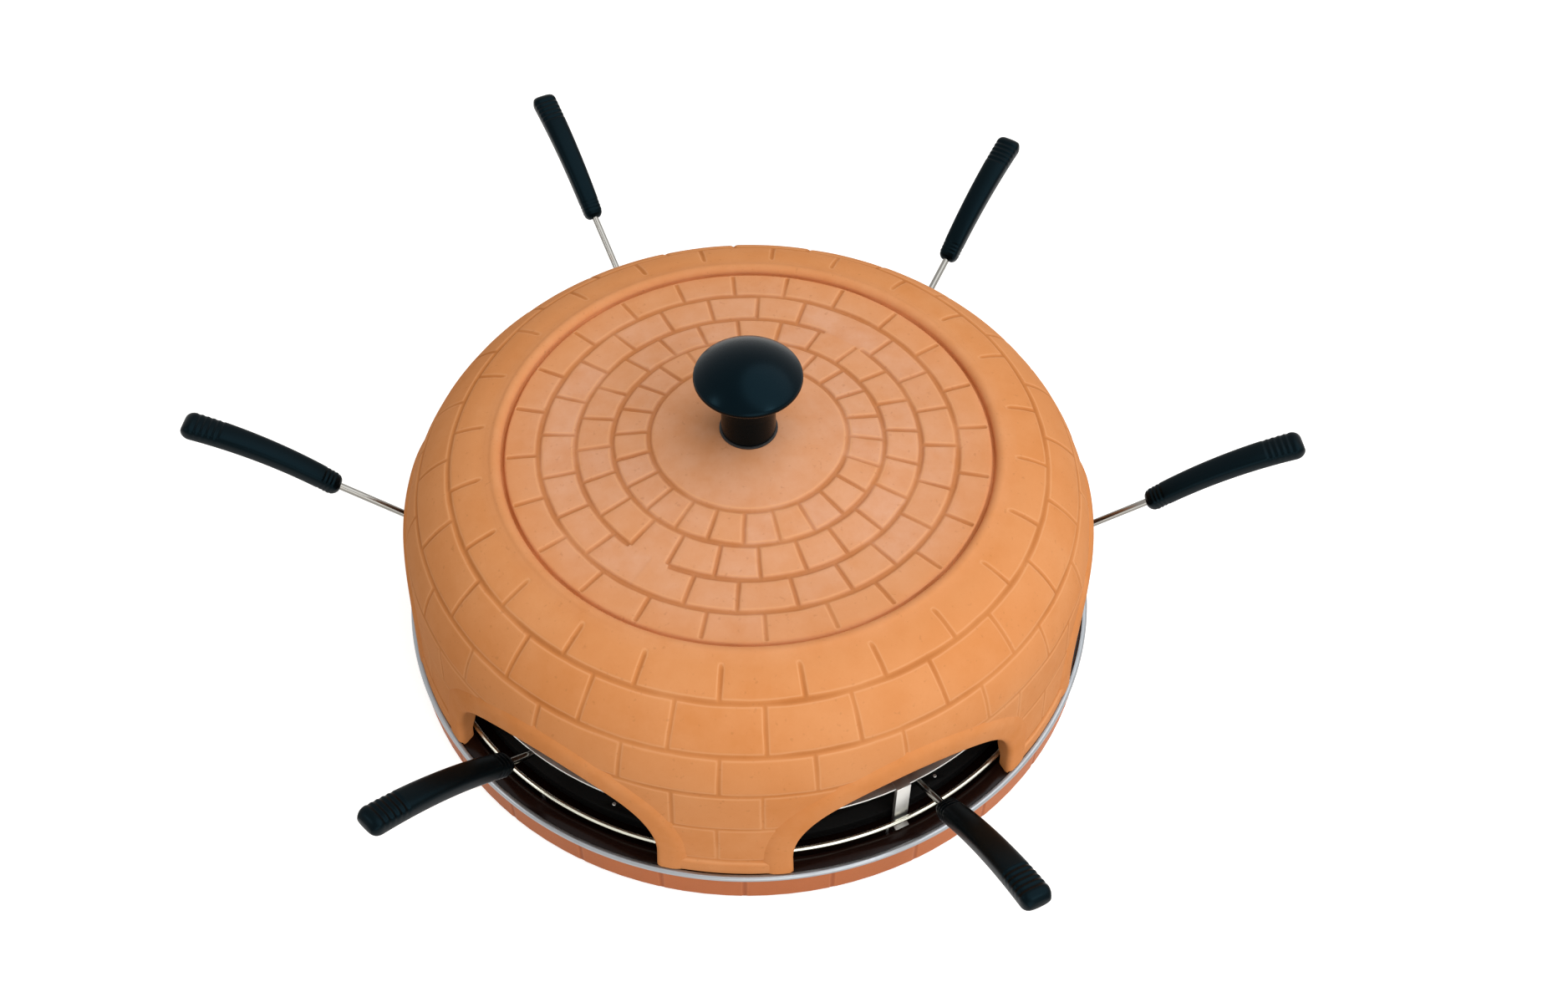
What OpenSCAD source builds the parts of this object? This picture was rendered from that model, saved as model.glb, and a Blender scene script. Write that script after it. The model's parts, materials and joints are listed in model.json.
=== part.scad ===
// Round table-top oven: a lift-off clay dome with arches over a heated base, with spatulas in the arches.
// The front is at negative Y, heights run up Z, and lengths are in millimetres.

/* [Base] */
// Outer radius of the base drum
base_r = 215; // [213:1:219]
// Height of the drum's upper edge above the table
base_top = 23; // [22.5:0.5:25]
// Thickness of the sheet metal
sheet = 1.2; // [0.9:0.1:1.4]
// Radius of a foot
foot_r = 10; // [8:0.5:14]
// Distance from the drum's edge to the middle of a foot
foot_in = 35; // [30:1:45]
// Height of the drum's lower edge above the table
drum_lift = 2.5; // [2:0.5:3]

/* [Dome] */
// Thickness of the clay wall
wall_t = 8.5; // [7.5:0.25:8.75]
// Height of the dome's upright wall
wall_h = 69.8; // [65.8:0.2:72.8]
// How far the upright wall leans in over its height
spring_in = 4.5; // [3:0.5:6]
// Level distance from the dome's foot in to the ridge
ridge_in = 60; // [58:1:64]
// Height of the rounded shoulder above the wall
shoulder_h = 59.5; // [57:0.5:62]
// Radius of the bead on the ridge
bead_r = 4.2; // [3:0.2:5]
// Rise of the crown above the ridge
crown_h = 11.5; // [9.5:0.5:14.5]
// Radius of the plain disc in the middle of the crown
disc_r = 58; // [50:1:62]
// Height of a brick course on the wall
wall_course = 32; // [28:0.5:34]
// Half-width of the groove between courses
groove_r = 1.2; // [0.8:0.1:1.6]

/* [Arches] */
// Direction of the first arch
arch_az = 57.5; // [55:0.5:60]
// Clear width of an arch
arch_w = 140; // [139:1:144]
// Height of a jamb below the arch
jamb_h = 15; // [14:0.2:18]
// Rise of the arch above the jambs
arch_rise = 55.8; // [54:0.2:58]
// Radius at the corners of the arch
arch_corner = 50; // [46:1:52]
// Width of the smooth band round an arch
band_w = 18; // [12:1:20]
// How far the band stands out of the wall
band_t = 2.5; // [1.5:0.25:3]

/* [Knob] */
// Radius of the knob's cap
cap_r = 31; // [28:0.5:34]
// Radius of the knob's neck
neck_r = 16; // [14:0.5:17]
// Height of the neck
neck_h = 39; // [34:1:44]
// Height of the cap
cap_h = 17; // [14:0.5:20]

/* [Heating] */
// Width of the slot between the baking plate and the bright ring
plate_gap = 7; // [6.5:0.5:13]
// Height of the baking plate above the tray's shelf
plate_h = 13; // [12:0.25:14]
// Clearance between the bright ring and the clay wall
ring_gap = 1.5; // [1:0.1:2]
// Half-thickness of the bright ring
ring_t = 1.5; // [1.2:0.1:1.6]
// Radius of a heater tube
tube_r = 3.25; // [2.75:0.25:3.5]
// Distance from the plate's edge in to the lower heater
lower_in = 72; // [62:1:80]
// Distance from the straps in to the upper heater
upper_in = 21; // [18:1:26]
// Height of the upper heater above the baking plate
upper_h = 23; // [22:0.5:24]
// Width of a strap that carries the upper heater
strap_w = 9; // [7:0.5:10]
// Direction of the strap that carries the feed
feed_az = 297.5; // [295:0.5:299]

/* [Spatulas] */
// Width of a spatula blade
blade_w = 58; // [50:1:58]
// Length of a spatula blade
blade_l = 72; // [64:1:74]
// Thickness of a spatula blade
blade_t = 1.2; // [0.8:0.1:1.5]
// Radius of the shaft wire
wire_r = 2.25; // [1.75:0.25:2.5]
// Slope of the shaft where it rises out of the oven
shaft_slope = 30; // [28:1:33]
// Height of the shaft where it enters the handle
grip_z = 62; // [60:0.5:62.5]
// Distance from the middle of the oven to a blade's rear edge when its handle is at the wall
blade_stand = 106.2; // [102.2:0.2:110.2]
// Length of the handle along its curve
grip_l = 91; // [80:1:95]
// Slope of the handle at its inner end
grip_slope = 39; // [36:0.5:42]
// How much the handle bends over
grip_bend = 22; // [18:1:26]
// Width of the handle at its outer end
grip_w = 17.5; // [14:0.5:18]
// Thickness of the handle
grip_t = 12.5; // [10:0.5:12.5]
// Turn of the front left spatula from the middle of its arch
turn_1 = -6.3; // [-7:0.1:-5]
// Turn of the left spatula from the middle of its arch
turn_2 = -6; // [-7:0.1:-4]
// Turn of the back left spatula from the middle of its arch
turn_3 = -8.6; // [-9:0.1:-7]
// Turn of the back right spatula from the middle of its arch
turn_4 = 6.2; // [4:0.1:7]
// Turn of the right spatula from the middle of its arch
turn_5 = 10.3; // [8:0.1:10.4]
// Turn of the front right spatula from the middle of its arch
turn_6 = 3.8; // [3:0.1:5]
// Distance from the wall to the front left handle
pull_1 = 6; // [4:1:9]
// Distance from the wall to the left handle
pull_2 = 62; // [55:1:68]
// Distance from the wall to the back left handle
pull_3 = 118; // [110:1:121]
// Distance from the wall to the back right handle
pull_4 = 87; // [82:1:95]
// Distance from the wall to the right handle
pull_5 = 51; // [45:1:60]
// Distance from the wall to the front right handle
pull_6 = 14; // [11:1:17]
// Yaw of the front left spatula
yaw_1 = -4.4; // [-5.5:0.1:-2]
// Yaw of the left spatula
yaw_2 = 2.4; // [0:0.1:4]
// Yaw of the back left spatula
yaw_3 = 9.2; // [7:0.1:10]
// Yaw of the back right spatula
yaw_4 = -5.4; // [-7:0.1:-3]
// Yaw of the right spatula
yaw_5 = -1.5; // [-4:0.1:-1]
// Yaw of the front right spatula
yaw_6 = -4.6; // [-6:0.1:-3]

/* [Switch] */
// Direction of the switch on the back of the drum
switch_az = 75; // [70:1:80]
// Direction of the cord gland on the back of the drum
gland_az = 100; // [95:1:105]
// Radius of the empty cord hole in the gland
cord_r = 3.6; // [3:0.1:4]
// Tilt of the rocker either way
rocker_tilt = 7; // [5:0.5:8]

/* [Hidden] */
$fn = 96;
eps = 0.01;
far = 600;
gap = 0.3;
slack = 0.05;
face = 0.6;
arches = 6;
step = 360 / arches;
// Sheet-metal base
drum_floor = drum_lift + sheet;
cover_top = drum_floor + sheet;
flange_in = 15;
cover_lap = 8;
tray_top = base_top + sheet;
shelf_drop = 7.2;
shelf_z = tray_top - shelf_drop;
shelf_edge = 12;
shelf_out = base_r - shelf_edge;
seat_in = shelf_out + sheet + gap;
shelf_w = 15;
shelf_in = shelf_out - shelf_w;
pan_drop = 4;
pan_z = shelf_z - pan_drop;
pan_slope = 5;
pan_r = shelf_in - pan_slope;
rim_lip = 2.4;
rim_proud = 1;
rim_in = base_r - rim_lip;
rim_out = base_r + rim_proud;
rim_top = base_top + 2.5;
rim_roll = 1.2;
roll_mid = rim_roll * (1 - cos(45));
foot_ring_r = base_r - foot_in;
vent_w = 4;
vent_l = 26;
vent_in = 65;
vent_r = base_r - vent_in;
vents = 12;
screw_r = 1.6;
screw_head_r = 3.4;
screw_head_h = 1.4;
screw_sink = 1.2;
screw_top = 2.6;
// Clay dome
dome_z = tray_top;
dome_r = rim_in - face;
spring_r = dome_r - spring_in;
spring_z = dome_z + wall_h;
ridge_r = dome_r - ridge_in;
ridge_z = spring_z + shoulder_h;
crown_z = ridge_z + crown_h;
lean = atan((dome_r - spring_r) / (spring_z - dome_z));
run_r = ridge_r - spring_r;
run_z = ridge_z - spring_z;
shoulder_r = -(run_r * run_r + run_z * run_z) / (2 * (run_r * cos(lean) + run_z * sin(lean)));
shoulder_x = spring_r - shoulder_r * cos(lean);
shoulder_z = spring_z - shoulder_r * sin(lean);
crown_t = 10;
crown_seat = 18;
ridge_step = 8;
crown_edge = ridge_r - ridge_step;
crown_low = ridge_z - 1.2;
crown_mid = ridge_z - 0.2;
crown_course = (crown_edge - disc_r) / 4;
disc_z = crown_low + (crown_z - crown_low) * 0.57;
course_mid = disc_r + 2 * crown_course;
bead_x = crown_edge + bead_r + 0.3;
bead_z = ridge_z - bead_r * 0.6;
shoulder_top = asin(run_z / shoulder_r + sin(lean));
shoulder_cuts = [shoulder_top * 0.73, shoulder_top * 0.415, shoulder_top * 0.13];
top_course = 24;
wall_top_cut = spring_z - top_course;
arch_spring = dome_z + jamb_h;
arch_lift = arch_rise - arch_corner;
arch_k = (pow(arch_w / 2 - arch_corner, 2) - arch_lift * arch_lift) / (2 * arch_lift);
arch_r = arch_rise + arch_k;
arch_depth = 62;
arch_in = dome_r - arch_depth;
band_z = tray_top + 2;
band_bite = 3;
band_lap = 14;
swell = 0.25;
// Knob on the crown
gasket_t = 1;
gasket_r = neck_r + 1;
knob_z = crown_z + gasket_t;
cap_z = knob_z + neck_h;
cap_edge = 3;
cap_rise = cap_h - cap_edge;
cap_in = cap_r - cap_edge;
cap_ball = (cap_in * cap_in + cap_rise * cap_rise - cap_edge * cap_edge) / (2 * (cap_rise - cap_edge));
neck_waist = 1.2;
stud_r = 3;
stud_l = 24;
stud_hole = 4;
washer_r = 14;
washer_t = 2;
head_r = 6;
head_h = 4;
ceiling_z = crown_z - crown_t;
// Plate, rings and heaters
ring_r = dome_r - wall_t - ring_gap - ring_t;
plate_r = ring_r - ring_t - plate_gap;
plate_z = shelf_z + plate_h;
plate_t = 2.6;
skirt_t = 2.5;
skirt_z = plate_z - 8;
rivet_r = 1.8;
rivet_h = 0.25;
rivet_ring_r = plate_r - 5;
rivet_az = 246.6;
post_r = 4;
post_in = 27;
post_ring_r = plate_r - post_in;
ring_z = plate_z - ring_t;
leg_r = 1;
leg_az = 294.5;
lower_lift = 6;
lower_z = pan_z + lower_lift;
lower_r = plate_r - lower_in;
lower_gap = 6;
block_l = 40;
block_w = 16;
block_top = pan_z - sheet - 0.5;
leg_hole = tube_r + 0.75;
clip_w = 6;
clip_l = 10;
clip_z = lower_z + 1;
strap_gap = 3;
strap_in = ring_r - ring_t - strap_gap;
strap_foot = shelf_out - 0.8;
upper_r = strap_in - upper_in;
upper_z = plate_z + upper_h;
carrier_gap = 0.5;
carrier_w = 6.5;
carrier_out = strap_in - carrier_gap;
carrier_in = carrier_out - carrier_w;
strap_tab = carrier_in - 1;
carrier_z = upper_z + tube_r + carrier_gap;
carrier_t = 1.2;
strap_top = carrier_z + carrier_t;
pier_az = arch_az - step / 2;
clip_turn = 15;
upper_gap = 3;
rod_r = 1;
rod_gap = 0.8;
rod_x = strap_in - rod_gap - rod_r;
rod_y = 3;
rod_lift = 3;
rod_low = cover_top + rod_lift;
// Spatulas
blade_gap = 0.4;
blade_z = plate_z + blade_gap;
blade_top = blade_z + blade_t;
blade_round = 14;
wire_z = blade_top + wire_r;
tongue_l = 28;
tongue_w = 9;
tongue_t = 1.5;
shaft_run = (grip_z - wire_z) / tan(shaft_slope);
wall_inset = 10;
wall_ref = base_r - wall_inset;
shaft_flat = wall_ref - shaft_run - blade_stand;
blade_x = -shaft_run - shaft_flat;
shaft_in = 19;
bore_in = shaft_in + gap;
grip_r = grip_l / grip_bend * 180 / PI;
grip_in = 5;
grip_ax = grip_in * cos(shaft_slope);
grip_az = grip_z + grip_in * sin(shaft_slope);
grip_cx = grip_ax + grip_r * sin(grip_slope);
grip_cz = grip_az - grip_r * cos(grip_slope);
grip_end_slope = grip_slope - grip_bend;
grip_x = grip_cx - grip_r * sin(grip_end_slope);
grip_end_z = grip_cz + grip_r * cos(grip_end_slope);
grip_neck_w = grip_w - 4;
grip_round = 4;
grip_nose = 3;
groove_n = 5;
rib_gap = 5;
rib_first = 18;
rib_cut = 1.2;
rib_deep = 0.8;
turns = [turn_1, turn_2, turn_3, turn_4, turn_5, turn_6];
pulls = [pull_1, pull_2, pull_3, pull_4, pull_5, pull_6];
yaws = [yaw_1, yaw_2, yaw_3, yaw_4, yaw_5, yaw_6];
// Switch and cord gland
switch_z = 10.3;
bezel_l = 24;
bezel_h = 12;
bezel_t = 2;
bezel_x = base_r + gap;
case_l = 20;
case_h = 9.4;
case_d = 16;
window_l = 15;
window_h = 7.2;
pivot_x = base_r - 1;
pin_r = 1;
pin_end = 0.1;
rocker_l = 6.9;
rocker_h = 6.8;
rocker_mid = 3;
rocker_back = 2;
rocker_tip = rocker_mid + rocker_l * tan(rocker_tilt);
lens_r = 1.2;
lens_y = 3.6;
lens_x = 2.2;
lens_t = 1.15;
well_d = 8;
gland_r = 6;
gland_flange = 8.2;
gland_t = 2;
gland_in = 9;
nut_r = 7.2;
nut_t = 3.5;
gland_z = 12.4;
lead_r = 1.1;
lead_z = cover_top + 2.6;
lead_stop = 0.7;

clay = [0.86, 0.58, 0.37];
painted = [0.78, 0.43, 0.29];
bright = [0.8, 0.8, 0.8];
dark = [0.09, 0.08, 0.08];
enamel = [0.13, 0.07, 0.05];
steel = [0.62, 0.62, 0.6];
ceramic = [0.9, 0.88, 0.82];

// A straight rod between two points
module rod(p, q, r) {
    d = q - p;
    len = norm(d);
    translate(p)
        rotate([0, acos(d[2] / len), atan2(d[1], d[0])])
            cylinder(r = r, h = len);
}

// Copies spread evenly round the axis
module spread(n, first) {
    for (i = [0 : n - 1])
        rotate([0, 0, first + i * 360 / n])
            children();
}

// A rectangle with round corners, centred
module round_rect(w, h, r) {
    square([w - 2 * r, h], center = true);
    square([w, h - 2 * r], center = true);
    for (x = [-1, 1], y = [-1, 1])
        translate([x * (w / 2 - r), y * (h / 2 - r)])
            circle(r);
}

// Drum wall with an inward flange at its foot and a seat at its top
module base_drum() color(painted) difference() {
    rotate_extrude() {
        translate([base_r - sheet, drum_lift])
            square([sheet, base_top - drum_lift]);
        translate([base_r - flange_in, drum_lift])
            square([flange_in, sheet]);
        translate([seat_in, base_top - sheet])
            square([base_r - seat_in, sheet]);
    }
    rotate([0, 0, switch_az])
        translate([base_r - flange_in, -case_l / 2 - gap, switch_z - case_h / 2 - gap])
            cube([2 * flange_in, case_l + 2 * gap, case_h + 2 * gap]);
    rotate([0, 0, gland_az])
        translate([base_r - flange_in, 0, gland_z])
            rotate([0, 90, 0])
                cylinder(r = gland_r + slack, h = 2 * flange_in);
}

// Round floor with vent slots, lying on the drum's lower flange
module bottom_cover() color(steel) difference() {
    translate([0, 0, drum_floor])
        cylinder(r = base_r - cover_lap, h = sheet);
    spread(arches, step / 2)
        translate([foot_ring_r, 0, 0])
            cylinder(r = screw_r + gap, h = base_top);
    spread(vents, 0)
        translate([vent_r - vent_l / 2, -vent_w / 2, 0])
            cube([vent_l, vent_w, base_top]);
}

// Rubber feet under the floor
module feet() color(dark) spread(arches, step / 2)
    translate([foot_ring_r, 0, 0])
        difference() {
            cylinder(r = foot_r, h = drum_floor);
            translate([0, 0, -eps])
                cylinder(r = screw_head_r + gap, h = screw_top + eps);
            cylinder(r = screw_r + gap, h = base_top);
        }

// Screws that hold the feet
module foot_screws() color(bright) spread(arches, step / 2)
    translate([foot_ring_r, 0, 0]) {
        translate([0, 0, screw_sink])
            cylinder(r = screw_head_r, h = screw_head_h);
        translate([0, 0, screw_sink])
            cylinder(r = screw_r, h = cover_top + 1);
    }

// Bright rim with a rolled top, standing on the drum
module rim_ring() color(bright) rotate_extrude()
    polygon([[rim_in, base_top], [rim_out, base_top], [rim_out, rim_top - rim_roll],
        [rim_out - roll_mid, rim_top - roll_mid], [rim_out - rim_roll, rim_top],
        [rim_in + rim_roll, rim_top], [rim_in + roll_mid, rim_top - roll_mid], [rim_in, rim_top - rim_roll]]);

// Dark drip tray: flange, step, shelf and pan
module tray() color(enamel) difference() {
    rotate_extrude() {
        translate([shelf_out, base_top])
            square([rim_in - gap - shelf_out, sheet]);
        translate([shelf_out, shelf_z - sheet])
            square([sheet, tray_top - shelf_z + sheet]);
        translate([shelf_in, shelf_z - sheet])
            square([shelf_out - shelf_in + eps, sheet]);
        polygon([[shelf_in, shelf_z], [pan_r, pan_z], [pan_r, pan_z - sheet], [shelf_in, shelf_z - sheet]]);
        translate([0, pan_z - sheet])
            square([pan_r, sheet]);
    }
    for (s = [-1, 1])
        rotate([0, 0, 90 + s * lower_gap])
            translate([lower_r, 0, 0])
                cylinder(r = leg_hole, h = base_top);
    for (s = [-1, 1])
        rotate([0, 0, feed_az])
            translate([rod_x, s * rod_y, 0])
                cylinder(r = rod_r + gap, h = base_top);
}

// Lower heater: an open ring whose ends turn down through the tray
module lower_heater() color(steel) {
    rotate([0, 0, 90 + lower_gap])
        rotate_extrude(angle = 360 - 2 * lower_gap)
            translate([lower_r, lower_z])
                circle(tube_r);
    for (s = [-1, 1])
        rotate([0, 0, 90 + s * lower_gap])
            translate([lower_r, 0, 0]) {
                translate([0, 0, lower_z])
                    sphere(tube_r);
                translate([0, 0, block_top - 3])
                    cylinder(r = tube_r, h = lower_z - block_top + 3);
            }
}

// Saddles that carry the lower heater
module lower_clips() color(bright) difference() {
    spread(4, 45)
        translate([lower_r - clip_l / 2, -clip_w / 2, pan_z])
            cube([clip_l, clip_w, clip_z - pan_z]);
    rotate_extrude()
        translate([lower_r, lower_z])
            circle(tube_r + slack);
}

// Ceramic block where the heater's ends are wired
module terminal_block() color(ceramic) difference() {
    translate([-block_l / 2, lower_r - block_w / 2, cover_top])
        cube([block_l, block_w, block_top - cover_top]);
    for (s = [-1, 1])
        rotate([0, 0, 90 + s * lower_gap])
            translate([lower_r, 0, block_top - 3 - gap])
                cylinder(r = tube_r + slack, h = base_top);
}

// Wires under the tray: gland to switch, switch to block, gland to block and block to the feed
module leads() color(dark) {
    block_y = lower_r + block_w / 2 + lead_stop;
    far_y = lower_r - block_w / 2 - lead_stop;
    gland_run = base_r - shelf_edge;
    gland_p = [gland_run * cos(gland_az), gland_run * sin(gland_az), lead_z];
    switch_run = bezel_x - case_d - gap - lead_r;
    switch_p = [switch_run * cos(switch_az + 2), switch_run * sin(switch_az + 2), lead_z];
    feed_p = [(rod_x - 4) * cos(feed_az), (rod_x - 4) * sin(feed_az), lead_z];
    rod([switch_p[0] - 2, switch_p[1] - 1, lead_z], [block_l / 2 - 6, block_y, lead_z], lead_r);
    rod([gland_p[0] + 3, gland_p[1] - 8, lead_z], [6 - block_l / 2, block_y, lead_z], lead_r);
    rod([6, far_y, lead_z], feed_p, lead_r);
}

// Posts that carry the baking plate
module plate_posts() color(steel) spread(arches, step / 2)
    translate([post_ring_r, 0, pan_z])
        cylinder(r = post_r, h = plate_z - plate_t - pan_z);

// Black baking plate with a turned-down skirt
module baking_plate() color(dark) difference() {
    rotate_extrude() {
        translate([0, plate_z - plate_t])
            square([plate_r, plate_t]);
        translate([plate_r - skirt_t, skirt_z])
            square([skirt_t, plate_z - skirt_z]);
    }
    spread(arches, rivet_az)
        translate([rivet_ring_r, 0, skirt_z])
            cylinder(r = rivet_r - 0.6 + slack, h = base_top);
}

// Rivets through the plate near its edge
module plate_rivets() color(bright) spread(arches, rivet_az)
    translate([rivet_ring_r, 0, 0]) {
        translate([0, 0, plate_z])
            cylinder(r = rivet_r, h = rivet_h);
        translate([0, 0, plate_z - plate_t])
            cylinder(r = rivet_r - 0.6, h = plate_t);
    }

// Bright ring standing round the plate
module plate_ring() color(bright) rotate_extrude()
    translate([ring_r, ring_z])
        circle(ring_t);

// Thin legs that hold the ring above the tray's shelf
module ring_legs() color(bright) difference() {
    spread(arches, leg_az)
        translate([ring_r, 0, shelf_z])
            cylinder(r = leg_r, h = ring_z - shelf_z);
    rotate_extrude()
        translate([ring_r, ring_z])
            circle(ring_t + slack);
}

// One strap: foot on the shelf, upright, and a tab over the carrier ring
module strap() {
    translate([strap_in, -strap_w / 2, shelf_z])
        cube([sheet, strap_w, strap_top + sheet - shelf_z]);
    translate([strap_in, -strap_w / 2, shelf_z])
        cube([strap_foot - strap_in, strap_w, sheet]);
    translate([strap_tab, -strap_w / 2, strap_top])
        cube([strap_in + sheet - strap_tab, strap_w, sheet]);
}

// Straps behind the piers that carry the upper heater
module heater_legs() color(bright) spread(3, pier_az) strap();

// Strap in the front right arch that covers the feed
module feed_strap() color(bright) rotate([0, 0, feed_az]) strap();

// Rods that feed the upper heater, behind the strap
module feed_rods() color(steel) rotate([0, 0, feed_az])
    for (s = [-1, 1]) {
        rod([upper_r + tube_r + gap, s * rod_y, upper_z], [rod_x, s * rod_y, upper_z], rod_r);
        translate([rod_x, s * rod_y, upper_z])
            sphere(rod_r);
        rod([rod_x, s * rod_y, rod_low], [rod_x, s * rod_y, upper_z], rod_r);
    }

// Flat ring that ties the straps together
module carrier_ring() color(bright) rotate_extrude()
    translate([carrier_in, carrier_z])
        square([carrier_out - carrier_in, carrier_t]);

// Upper heater: a ring above the blades, open at the feed
module upper_heater() color(steel) rotate([0, 0, feed_az + upper_gap])
    rotate_extrude(angle = 360 - 2 * upper_gap)
        translate([upper_r, upper_z])
            circle(tube_r);

// Hangers from the carrier ring to the upper heater
module upper_clips() color(bright) difference() {
    spread(arches, arch_az + clip_turn)
        translate([upper_r - clip_l / 2, -clip_w / 2, 0]) {
            translate([0, 0, strap_top])
                cube([carrier_out - upper_r + clip_l / 2 - 2, clip_w, sheet]);
            translate([0, 0, upper_z])
                cube([clip_l, clip_w, strap_top + eps - upper_z]);
        }
    rotate_extrude()
        translate([upper_r, upper_z])
            circle(tube_r + slack);
}

// Switch case with a bezel outside the drum
module switch_case() color(dark) rotate([0, 0, switch_az]) translate([0, 0, switch_z]) difference() {
    union() {
        translate([bezel_x, -bezel_l / 2, -bezel_h / 2])
            cube([bezel_t, bezel_l, bezel_h]);
        translate([bezel_x - case_d, -case_l / 2, -case_h / 2])
            cube([case_d + eps, case_l, case_h]);
    }
    translate([pivot_x - well_d / 2, -window_l / 2, -window_h / 2])
        cube([far, window_l, window_h]);
    translate([pivot_x, 0, -case_h])
        cylinder(r = pin_r + slack, h = 2 * case_h);
}

// Rocker on two pins
module switch_rocker() color(dark) rotate([0, 0, switch_az]) translate([pivot_x, 0, switch_z])
    rotate([0, 0, rocker_tilt]) difference() {
        union() {
            translate([0, 0, -rocker_h / 2])
                linear_extrude(rocker_h)
                    polygon([[-rocker_back, -rocker_l * 0.6], [rocker_tip, -rocker_l], [rocker_mid, 0],
                        [rocker_tip, rocker_l], [-rocker_back, rocker_l * 0.6]]);
            translate([0, 0, pin_end - case_h / 2])
                cylinder(r = pin_r, h = case_h - 2 * pin_end);
        }
        translate([lens_x, lens_y, 0])
            rotate([0, 90, 0])
                cylinder(r = lens_r + slack, h = far);
    }

// Small pilot lens let into the rocker
module switch_lens() color([0.8, 0.2, 0.1]) rotate([0, 0, switch_az]) translate([pivot_x, 0, switch_z])
    rotate([0, 0, rocker_tilt])
        translate([lens_x, lens_y, 0])
            rotate([0, 90, 0])
                cylinder(r = lens_r, h = lens_t);

// Gland with an empty cord hole
module cord_gland() color(dark) rotate([0, 0, gland_az]) translate([base_r + gap, 0, gland_z])
    rotate([0, 90, 0]) difference() {
        union() {
            cylinder(r = gland_flange, h = gland_t);
            translate([0, 0, -gland_in])
                cylinder(r = gland_r, h = gland_in + eps);
        }
        translate([0, 0, -gland_in - eps])
            cylinder(r = cord_r, h = gland_in + gland_t + 2 * eps);
    }

// Nut inside the drum
module gland_nut() color(dark) rotate([0, 0, gland_az]) translate([base_r - sheet - gap - 0.1, 0, gland_z])
    rotate([0, -90, 0]) difference() {
        cylinder(r = nut_r, h = nut_t);
        translate([0, 0, -eps])
            cylinder(r = gland_r + slack, h = nut_t + 2 * eps);
    }

// Rounded part of the section above the wall, from the step at the ridge outward
module shoulder_2d(grow, top) intersection() {
    translate([shoulder_x, shoulder_z])
        circle(shoulder_r + grow + swell);
    translate([crown_edge, dome_z])
        square([far, top - dome_z]);
}

// Straight part of the section, from the axis to the wall's outer or inner face
module core_2d(foot_r, foot_z, grow, drop) polygon([[0, foot_z], [foot_r, foot_z],
    [spring_r + grow * cos(lean), spring_z + grow * sin(lean)], [crown_edge + 2, crown_low - drop],
    [course_mid, crown_mid - drop], [disc_r, disc_z - drop],
    [crown_seat, crown_z - drop], [0, crown_z - drop]]);

// Section of the clay shell with its bead and course grooves
module shell_2d() difference() {
    union() {
        core_2d(dome_r, dome_z, 0, 0);
        shoulder_2d(0, far);
        translate([bead_x, bead_z])
            circle(bead_r);
    }
    core_2d(dome_r - wall_t + tan(lean), dome_z - 1, -wall_t, crown_t);
    shoulder_2d(-wall_t, crown_low - crown_t - swell);
    for (r = [disc_r, disc_r + crown_course, course_mid, disc_r + 3 * crown_course])
        translate([r, crown_height(r)])
            circle(groove_r);
    for (a = shoulder_cuts)
        translate([shoulder_x + shoulder_r * cos(a), shoulder_z + shoulder_r * sin(a)])
            circle(groove_r);
    for (i = [0, 1])
        translate([wall_radius(wall_top_cut - i * wall_course), wall_top_cut - i * wall_course])
            circle(groove_r);
}

// Height of the crown at a radius
function crown_height(r) = lookup(r, [[0, crown_z], [crown_seat, crown_z], [disc_r, disc_z],
    [course_mid, crown_mid], [crown_edge, crown_low]]);

// Outer radius of the wall at a height
function wall_radius(z) = dome_r + (spring_r - dome_r) * (z - dome_z) / (spring_z - dome_z);

// Section of the raised band, bedded in the wall
module band_2d() {
    polygon([[dome_r - band_bite, band_z], [dome_r + band_t, band_z],
        [spring_r + band_t * cos(lean), spring_z + band_t * sin(lean)],
        [spring_r - band_bite * cos(lean), spring_z - band_bite * sin(lean)]]);
    intersection() {
        translate([shoulder_x, shoulder_z])
            difference() {
                circle(shoulder_r + band_t + swell);
                circle(shoulder_r - band_bite);
            }
        translate([shoulder_x + shoulder_r / 3, spring_z - band_lap])
            square(far);
    }
}

// Outline of one arch from the table up, let out by an amount
module arch_2d(grow) {
    cz = arch_spring - arch_k;
    cx = arch_w / 2 - arch_corner;
    translate([-arch_w / 2 - grow, 0])
        square([arch_w + 2 * grow, arch_spring]);
    for (s = [-1, 1])
        translate([s * cx, arch_spring])
            circle(arch_corner + grow + swell);
    intersection() {
        translate([0, cz])
            circle(arch_r + grow);
        polygon([[0, cz], [cx * far / arch_k, cz + far], [-cx * far / arch_k, cz + far]]);
    }
}

// Arches as straight prisms through the wall
module arch_prisms(grow) spread(arches, arch_az)
    translate([arch_in, 0, 0])
        rotate([90, 0, 90])
            linear_extrude(base_r - arch_in + far / 10)
                arch_2d(grow);

// Clay dome with arches, smooth bands round them and grooves between its courses
module dome() color(clay) difference() {
    union() {
        rotate_extrude()
            shell_2d();
        intersection() {
            rotate_extrude()
                band_2d();
            arch_prisms(band_w);
        }
    }
    arch_prisms(0);
    cylinder(r = stud_hole, h = far);
}

// Thin gasket under the knob
module knob_gasket() color(dark) translate([0, 0, crown_z]) difference() {
    cylinder(r = gasket_r, h = gasket_t);
    translate([0, 0, -eps])
        cylinder(r = stud_hole, h = gasket_t + 2 * eps);
}

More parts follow.
